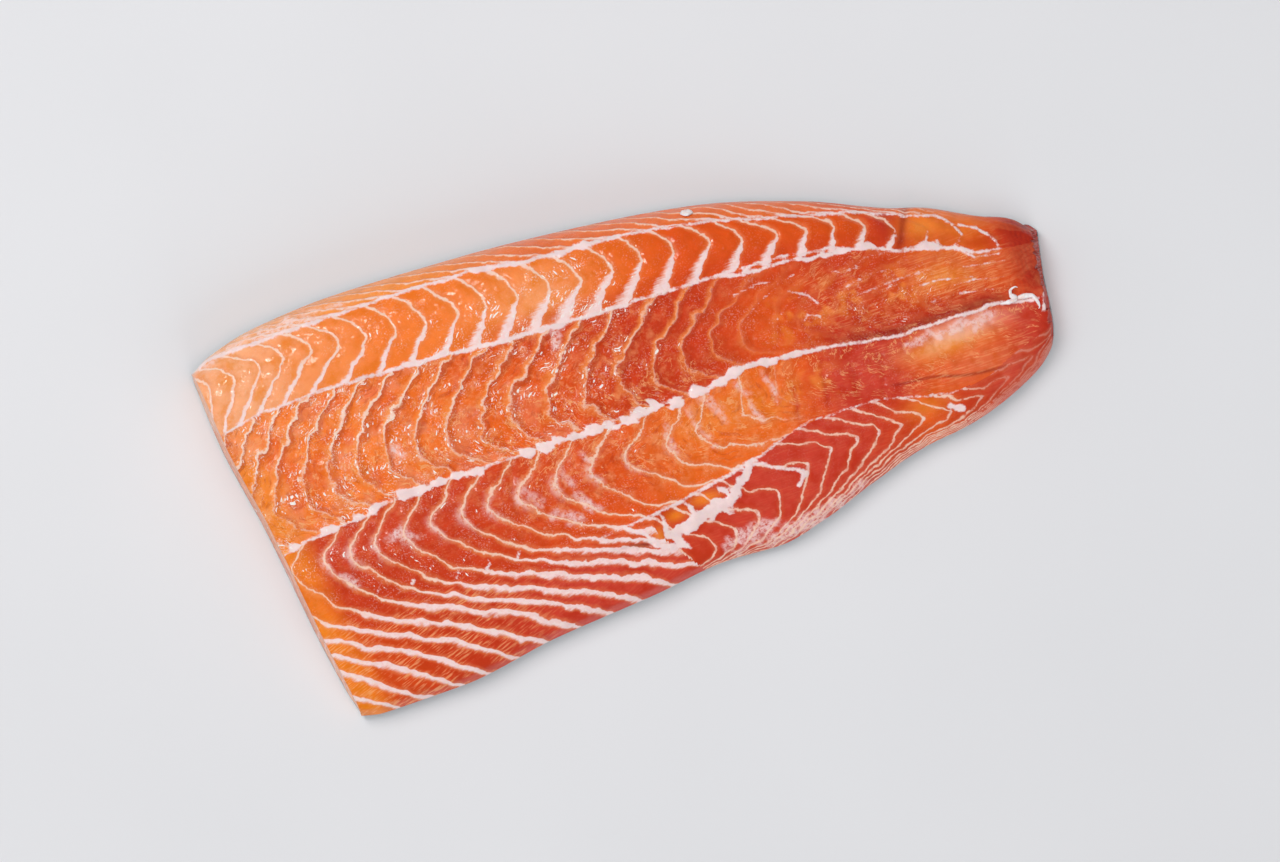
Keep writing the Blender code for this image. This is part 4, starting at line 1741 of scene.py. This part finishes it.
    def _gather(self, patch: Patch, flakes: tuple, rows: slice, columns: slice) -> dict[str, Array]:
        """Collect the pattern values of part of a patch, flattened.

        Args:
            patch: The patch.
            flakes: Its sheet numbers and spacing.
            rows: Which rows to keep.
            columns: Which columns to keep.

        Returns:
            Values by name, each (vertex, ...).
        """
        phase, spacing = flakes
        band_rows = patch.band_rows(self.side)
        colours = colours_by_zone(patch.x, patch.y)
        thick = {zone: BANDS[zone].thickness(patch.x, band_rows[zone]) for zone in Zone}

        def flat(by_zone: dict[Zone, Array]) -> Array:
            whole = np.stack([by_zone[zone][rows, columns] for zone in Zone], axis=2)
            return whole.reshape(-1, *whole.shape[2:])

        x, y = patch.x[rows, columns].ravel(), patch.y[rows, columns].ravel()
        return {
            "x": x,
            "y": y,
            "phase": flat(phase),
            "spacing": flat(spacing),
            "thick": flat(thick),
            "colour": flat({zone: patch.tinted(colour) for zone, colour in colours.items()}),
            "plain": np.full(x.shape, patch.plain),
        }

    def _write_attributes(self, mesh: bpy.types.Mesh, sheets: dict) -> None:
        """Write the pattern values that the flesh material reads.

        Args:
            mesh: The joined mesh.
            sheets: Pattern values of the flesh vertices, which come first.
        """
        loops = np.empty(len(mesh.loops), np.int32)
        mesh.loops.foreach_get("vertex_index", loops)
        totals = np.empty(len(mesh.polygons), np.int32)
        mesh.polygons.foreach_get("loop_total", totals)
        face = np.repeat(np.arange(len(totals)), totals)
        flesh = loops < sheets["count"]
        vertex = np.where(flesh, loops, 0)
        x, y = sheets["x"][vertex], sheets["y"][vertex]
        centre_x = np.bincount(face, x) / totals
        centre_y = np.bincount(face, y) / totals
        zone = zone_of(centre_x, centre_y)[face]

        def pick(name: str) -> Array:
            return sheets[name][vertex, zone]

        plain = sheets["plain"][vertex]
        seam, film = self._fat(x, y)
        seam = seam * (1 - plain) + FAR * plain
        film = np.maximum(film, self._bend_fat(x, y, zone, pick("phase"), pick("spacing")))
        marks = {name: share * (1 - plain) for name, share in self._marks(x, y, zone).items()}
        cosine, sine = math.cos(math.radians(self.fibre_slant)), math.sin(math.radians(self.fibre_slant))
        slanted = (zone == FLANK) & (y < -30)
        run = np.where(slanted, x * cosine + y * sine, pick("phase") * FLAKE_LENGTH)
        cross = np.where(slanted, y * cosine - x * sine, y)
        vectors = {
            "sheets": (pick("phase"), pick("spacing"), pick("thick")),
            "fibres": (run, cross, marks["shingle"]),
            # The third value of fat is sparkle: where the painted glints and painted sheen go, and the
            # coat's small bumps.
            "fat": (seam, film, marks["sparkle"]),
            "marks": (marks["clear"], marks["streaky"], marks["halo"]),
            "edges": (marks["feather"], marks["squiggle"], marks["blotch"]),
        }
        for name, parts in vectors.items():
            data = mesh.attributes.new(name, "FLOAT_VECTOR", "CORNER")
            data.data.foreach_set("vector", np.stack(parts, axis=-1).astype(np.float32).ravel())
        tint = mesh.attributes.new("flesh", "FLOAT_COLOR", "CORNER")
        colour = np.concatenate([pick("colour"), np.ones((len(loops), 1))], axis=1)
        tint.data.foreach_set("color", colour.astype(np.float32).ravel())

    @staticmethod
    def _bend_fat(x: Array, y: Array, zone: Array, phase: Array, spacing: Array) -> Array:
        """Return the soft fat that gathers where the flank's sheets bend.

        Args:
            x: Places along, in mm.
            y: Places across, in mm.
            zone: Zone numbers.
            phase: Sheet numbers.
            spacing: Their spacing, in mm.

        Returns:
            How much film lies there, from 0 to 1.
        """
        off = (phase - np.round(phase)) * spacing
        near = np.exp(-((np.where(off < 0, off / 1.9, off / 0.9)) ** 2))
        along = hump(y, -17.5, 4.5) * within(x, -142, -130, -20, 12)
        return np.where(zone == FLANK, 0.75 * near * along, 0.0)

    @staticmethod
    def _fat(x: Array, y: Array) -> tuple[Array, Array]:
        """Return the depth outside the nearest solid fat, and how much thin film lies over each place."""
        seam = np.full(x.shape, FAR)
        for part in (BACK_SEAM, LOIN_SEAM, BONE_SEAM, VENT_SEAM):
            seam = np.minimum(seam, part.depth_outside(x, y))
        film = np.zeros(x.shape)
        for blot in FAT_BLOTS:
            outside = blot.depth_outside(x, y)
            if blot.whiteness > 0.8:
                seam = np.minimum(seam, outside)
            else:
                film = np.maximum(film, blot.whiteness * eased(outside, 1.4, -0.8))
        return seam, film

    @staticmethod
    def _marks(x: Array, y: Array, zone: Array) -> dict[str, Array]:
        """Return how strongly each kind of mark shows at each corner.

        Args:
            x: Places along, in mm.
            y: Places across, in mm.
            zone: Zone numbers.

        Returns:
            Values by the mark's name.
        """
        back, upper, lower, flank, vent = Zone
        deep = eased(y, 24, 12)
        # sparkle sets where the painted glints and painted sheen go, and the wet coat's small bumps with
        # them.
        loin_glints = 1.5 * hump(x, -24, 26) * hump(y, 46, 12)
        edge_glints = 0.45 * within(x, -150, -132, -110, -50) + 0.5 * hump(x, 102, 24) * hump(y, 9, 9)
        belly_streaks = 0.1 + 0.95 * eased(-y, 36, 46) * eased(x, -45, -90)
        fold_streaks = 0.7 * hump(y, -23, 7) * eased(x, 86, 100)
        upper_halo, flank_steps = 0.3 * eased(x, 112, 100), 0.35 * eased(x, 45, 15)
        upper_sparkle = 0.8 * (0.45 + 0.55 * hump(x, -30, 50) * eased(y, 66, 56))
        shares = {
            "clear": {
                back: 0.88 * eased(x, 135, 105),
                upper: 0.95 * eased(x, 112, 106),
                lower: np.maximum(
                    0.8 * eased(x, 60, -20) * (1 - 0.35 * deep), eased(x, -30, -75) * eased(y, 14, 24)
                ),
                flank: 0.95 * (1 - eased(x, 30, 58)),
                vent: 0.9 * (0.25 + 0.75 * eased(x, 130, 106)),
            },
            "streaky": {back: 0.1, flank: np.maximum(belly_streaks, fold_streaks), vent: 0.1},
            "halo": {back: 0.1, upper: upper_halo, lower: 0.1, flank: 0.3 * eased(x, 58, 35), vent: 0.1},
            # shingle sets how strongly the painted shade and light along the sheets show.
            "shingle": {back: 0.7, upper: 0.25, lower: 1 - 0.4 * deep, flank: flank_steps, vent: 0.05},
            "feather": {back: 0.6, upper: 0.35 + 0.5 * hump(x, -5, 60), lower: 0.5, flank: 0.35, vent: 0.3},
            "squiggle": {
                lower: (0.5 + 0.5 * deep) * eased(x, 60, 0) * (1 - 0.7 * hump(x, 12, 26) * eased(y, 8, 18)),
                flank: 0.8 * eased(x, -70, -45) * eased(-y, 30, 22),
            },
            "blotch": {
                lower: 0.8 * (1 - 0.7 * eased(x, -10, 30)),
                flank: 0.8 * eased(-y, 36, 24) * (0.35 + 0.65 * eased(x, -80, -40)) * eased(x, 62, 46),
            },
            "sparkle": {back: 0.4, upper: upper_sparkle, lower: 1, flank: 0.55, vent: 0.3},
        }
        marks = {name: pick_by_zone(zone, values) for name, values in shares.items()}
        fibres = 0.65 * eased(x, 60, 95) * eased(np.abs(y - 4), 26, 10)
        off_bone = np.abs(y - BONE_SEAM.y_at(x) - 1.5)
        kept = np.where(x > 60, eased(off_bone, 2, 5), 1) * eased(x, 150, 138)
        marks["streaky"] = np.maximum(marks["streaky"], fibres) * kept
        swirls = pick_by_zone(zone, {lower: 0.6, flank: 0.3}) * within(x, 55, 75, 138, 148)
        marks["squiggle"] = np.maximum(marks["squiggle"], swirls)
        marks["shingle"] *= 1 - 0.95 * eased(x, 15, 62)
        marks["sparkle"] *= (1 - 0.6 * eased(x, -30, 30)) * eased(x, 125, 105) * eased(y, -60, -30)
        marks["sparkle"] += pick_by_zone(zone, {upper: loin_glints, lower: loin_glints + edge_glints})
        return marks

    @staticmethod
    def _face_outwards(mesh: bpy.types.Mesh) -> None:
        """Turn every face outwards and crease the edge of the skin, keeping the corner values."""
        work = bmesh.new()
        work.from_mesh(mesh)
        bmesh.ops.recalc_face_normals(work, faces=work.faces)
        for edge in work.edges:
            edge.smooth = len({face.material_index for face in edge.link_faces}) == 1
        work.to_mesh(mesh)
        work.free()


@dataclass
class TailTendon:
    """The loose white end of the tendon, curled on the flesh near the tail cut.

    Attributes:
        curl: (x, y, lift above the flesh, radius) along its curled part, in mm.
        strand: The same along the part that hangs over the tail cut.
        steps: Rings along each part.
        sides: Points round it.
    """

    curl: tuple[tuple[float, float, float, float], ...] = (
        (136.5, -5.6, 0.1, 0.2),
        (140, -5.9, 0.5, 0.8),
        (142.4, -5.2, 0.9, 0.95),
        (141.2, -3.4, 1.1, 0.75),
        (141.6, -1.9, 1.2, 0.6),
        (143.6, -1.2, 1, 0.35),
        (144.6, -1.7, 0.7, 0.12),
    )
    strand: tuple[tuple[float, float, float, float], ...] = (
        (141.5, -5.4, 0.6, 0.5),
        (145.5, -5.6, 0.9, 0.85),
        (148.4, -6.2, 0.8, 0.9),
        (149.8, -8.4, 0.7, 0.7),
        (150.2, -10.8, 0.3, 0.3),
        (149.6, -11.8, 0, 0.1),
    )
    steps: int = 72
    sides: int = 12

    def build(self, body: FilletBody) -> bpy.types.Object:
        """Build and dress the tendon.

        Args:
            body: The fillet that it lies on.

        Returns:
            The finished object.
        """
        work = bmesh.new()
        for seed, path in ((91, self.curl), (92, self.strand)):
            self._tube(work, body, path, seed)
        bmesh.ops.recalc_face_normals(work, faces=work.faces)
        return finished("tail_tendon", work, FatFinish().material())

    def _tube(self, work: bmesh.types.BMesh, body: FilletBody, path: tuple, seed: int) -> None:
        """Add one tapering, slightly lumpy strand."""
        x, y, lift, radius = np.array(path).T
        run = running(np.hypot(np.diff(x), np.diff(y)))
        even = np.linspace(0, run[-1], self.steps)
        x, y, lift, radius = (curve(tuple(zip(run, part)))(even) for part in (x, y, lift, radius))
        rough = 1 + 0.3 * Mottle(seed, 1.1).at(even, 0 * even)
        middle = np.stack([x, y, body.height_at(x, y) + lift * 0.6 + radius * 0.3], axis=-1)
        ahead = np.gradient(middle, axis=0)
        ahead /= np.linalg.norm(ahead, axis=1, keepdims=True)
        side = np.cross(ahead, (0, 0, 1))
        side /= np.linalg.norm(side, axis=1, keepdims=True)
        over = np.cross(side, ahead)
        angle = np.arange(self.sides) * 2 * math.pi / self.sides
        across, up = np.cos(angle)[None, :, None], 0.7 * np.sin(angle)[None, :, None]
        girth = (radius * rough)[:, None, None]
        rings = middle[:, None] + girth * (side[:, None] * across + over[:, None] * up)
        tube = joined_rings(work, rings)
        work.faces.new(tube[0])
        work.faces.new(tube[-1])


@dataclass
class FatCrumb:
    """A small crumb of white fat stuck near the back edge.

    Attributes:
        centre: (x, y) of its middle, in mm.
        size: Its length, width and thickness, in mm.
        turn: How far its length is turned from x, in degrees.
        rings: Rings from top to bottom.
        sides: Points round it.
    """

    centre: tuple[float, float] = (36.3, 64.0)
    size: tuple[float, float, float] = (4.6, 2.8, 1.8)
    turn: float = -14
    rings: int = 14
    sides: int = 28

    def build(self, body: FilletBody) -> bpy.types.Object:
        """Build and dress the crumb.

        Args:
            body: The fillet that it sticks to.

        Returns:
            The finished object.
        """
        polar = np.linspace(0, math.pi, self.rings)[1:-1, None]
        angle = np.arange(self.sides) * 2 * math.pi / self.sides
        x, y = np.sin(polar) * np.cos(angle), np.sin(polar) * np.sin(angle)
        z = np.broadcast_to(np.cos(polar), x.shape)
        lump = 1 + 0.22 * Mottle(95, 0.55).at(x + z, y - z) + 0.1 * Mottle(96, 0.25).at(x - z, y + z)
        x, y, z = (part * lump * size / 2 for part, size in zip((x, y, z), self.size))
        bearing = math.radians(self.turn)
        place_x = self.centre[0] + x * math.cos(bearing) - y * math.sin(bearing)
        place_y = self.centre[1] + x * math.sin(bearing) + y * math.cos(bearing)
        flat = body.height_at(place_x, place_y)
        points = np.stack([place_x, place_y, flat + z + self.size[2] * 0.3], axis=-1)
        work = bmesh.new()
        grid = joined_rings(work, points)
        for ring in (grid[0], grid[-1]):
            middle = sum((v.co for v in ring), ring[0].co * 0) / self.sides
            tip = work.verts.new(middle)
            for i in range(self.sides):
                work.faces.new((ring[i], ring[(i + 1) % self.sides], tip))
        bmesh.ops.recalc_face_normals(work, faces=work.faces)
        return finished("fat_crumb", work, FatFinish().material())


def joined_rings(work: bmesh.types.BMesh, rings: Array) -> list[list[bmesh.types.BMVert]]:
    """Join closed rings of points into an open tube.

    Args:
        work: The mesh to add it to.
        rings: (ring, point, xyz), in mm.

    Returns:
        The tube's vertices, one list for each ring.
    """
    tube = [[work.verts.new(point * MM) for point in ring] for ring in rings]
    for here, ahead in zip(tube, tube[1:]):
        for i, corner in enumerate(here):
            j = (i + 1) % len(here)
            work.faces.new((corner, here[j], ahead[j], ahead[i]))
    return tube


def finished(name: str, work: bmesh.types.BMesh, material: bpy.types.Material) -> bpy.types.Object:
    """Turn a bmesh into a smooth object with a material.

    Args:
        name: The object's name.
        work: Its mesh, which is freed.
        material: Its material.

    Returns:
        The object, in the scene.
    """
    mesh = bpy.data.meshes.new(name)
    work.to_mesh(mesh)
    work.free()
    mesh.materials.append(material)
    mesh.shade_smooth()
    return placed(name, mesh)


def stitched(fine: Array, coarse: Array, points: Array) -> list[tuple[int, int, int]]:
    """Fill the strip between a fine and a coarse run of vertices with triangles.

    Args:
        fine: Vertex numbers of one run.
        coarse: Vertex numbers of the other, going the same way.
        points: All the points.

    Returns:
        The triangles.
    """

    def shares(run: Array) -> Array:
        length = running(np.linalg.norm(np.diff(points[run], axis=0), axis=1))
        return length / length[-1]

    a, b = shares(fine), shares(coarse)
    i = j = 0
    triangles = []
    while i < len(fine) - 1 or j < len(coarse) - 1:
        step_fine = j == len(coarse) - 1 or (i < len(fine) - 1 and a[i + 1] <= b[j + 1])
        if step_fine:
            triangles.append((int(fine[i]), int(fine[i + 1]), int(coarse[j])))
            i += 1
        else:
            triangles.append((int(fine[i]), int(coarse[j + 1]), int(coarse[j])))
            j += 1
    return triangles


# ---- Table, light and camera ----


@dataclass(frozen=True)
class Softbox:
    """One square light that faces the fillet.

    Attributes:
        name: Its name.
        bearing: Direction from the fillet, in degrees round from picture right.
        rise: Degrees above the table.
        size: Side of the square, in metres.
        watts: Its power.
        mirrored: Whether wet surfaces mirror it.
        lights: Whether it lights matt surfaces.
        distance: Metres from the fillet.
    """

    name: str
    bearing: float
    rise: float
    size: float
    watts: float
    mirrored: bool = True
    lights: bool = True
    distance: float = 2.4

    def hang(self, turn: float) -> None:
        """Make the light.

        Args:
            turn: Degrees from the fish's length to picture right.
        """
        data = bpy.data.lights.new(self.name, "AREA")
        data.shape = "SQUARE"
        data.size = self.size
        data.energy = self.watts
        light = placed(self.name, data)
        light.visible_glossy, light.visible_diffuse = self.mirrored, self.lights
        azimuth, lift = math.radians(self.bearing - turn), math.radians(self.rise)
        flat, above = self.distance * math.cos(lift), self.distance * math.sin(lift)
        light.location = (flat * math.cos(azimuth), flat * math.sin(azimuth), above)
        light.rotation_euler = (math.pi / 2 - lift, 0, azimuth + math.pi / 2)


@dataclass
class Studio:
    """A pale table, soft light from the upper left and a camera straight above.

    Attributes:
        turn: How far the fish's length is turned in the picture, in degrees.
        centre: What the camera looks at, in mm.
        height: Camera height, in mm.
        view_width: Width of table that the camera sees, in mm.
        sensor: Width of the camera's sensor, in mm.
        reach: How far the table runs from the middle, in metres.
        gap: How far the table lies below the fillet, so that the two never cross, in metres.
        softboxes: Its lights.
    """

    turn: float = 18.6
    centre: tuple[float, float] = (-6.0, -7.6)
    height: float = 2400
    view_width: float = 480
    sensor: float = 36
    reach: float = 3.0
    gap: float = 0.0002
    softboxes: tuple[Softbox, ...] = (
        Softbox("key_softbox", 135, 50, 1.2, 29, mirrored=False),
        Softbox("side_softbox", 176, 24, 1.6, 6, mirrored=False),
        Softbox("fill_softbox", -60, 24, 2.2, 26, mirrored=False),
        Softbox("top_softbox", 90, 86, 2.0, 15, mirrored=False),
        Softbox("window_softbox", 130, 52, 0.3, 7, lights=False),
        Softbox("side_window_softbox", -170, 60, 0.3, 6, lights=False),
    )

    def table(self) -> bpy.types.Object:
        """Make the table top."""
        mesh = bpy.data.meshes.new("table_top")
        corners = [(x * self.reach, y * self.reach, 0) for x, y in ((-1, -1), (1, -1), (1, 1), (-1, 1))]
        mesh.from_pydata(corners, [], [(0, 1, 2, 3)])
        mesh.materials.append(TableFinish().material())
        table = placed("table_top", mesh)
        table.location.z = -self.gap
        return table

    def camera(self) -> None:
        """Place the camera."""
        data = bpy.data.cameras.new("camera")
        data.sensor_width = self.sensor
        data.lens = self.sensor * self.height / self.view_width
        data.clip_end = 20
        camera = placed("camera", data)
        camera.location = (self.centre[0] * MM, self.centre[1] * MM, self.height * MM)
        camera.rotation_euler = (0, 0, -math.radians(self.turn))
        bpy.context.scene.camera = camera

    def light(self) -> None:
        """Set up the soft light, the small lamps that make wet surfaces glint, and the colour handling."""
        for softbox in self.softboxes:
            softbox.hang(self.turn)
        world = bpy.data.worlds.new("studio_white")
        world.use_nodes = True
        background = world.node_tree.nodes["Background"]
        background.inputs["Color"].default_value = (0.95, 0.97, 1.0, 1.0)
        background.inputs["Strength"].default_value = 0.2
        bpy.context.scene.world = world
        bpy.context.scene.view_settings.view_transform = "Standard"


def main() -> None:
    """Build the studio and the fillet, in order, and report each piece."""
    logging.basicConfig(level=logging.INFO, format="%(name)s: %(message)s")
    studio = Studio()
    studio.camera()
    studio.light()
    studio.table()
    fillet = FilletBody(SideShape(), Relief())
    body = fillet.build()
    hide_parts("fillet")
    for piece in (body, TailTendon().build(fillet), FatCrumb().build(fillet)):
        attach(piece, "root")
        LOG.info("%s: %d faces", piece.name, len(piece.data.polygons))


if __name__ == "__main__":
    main()
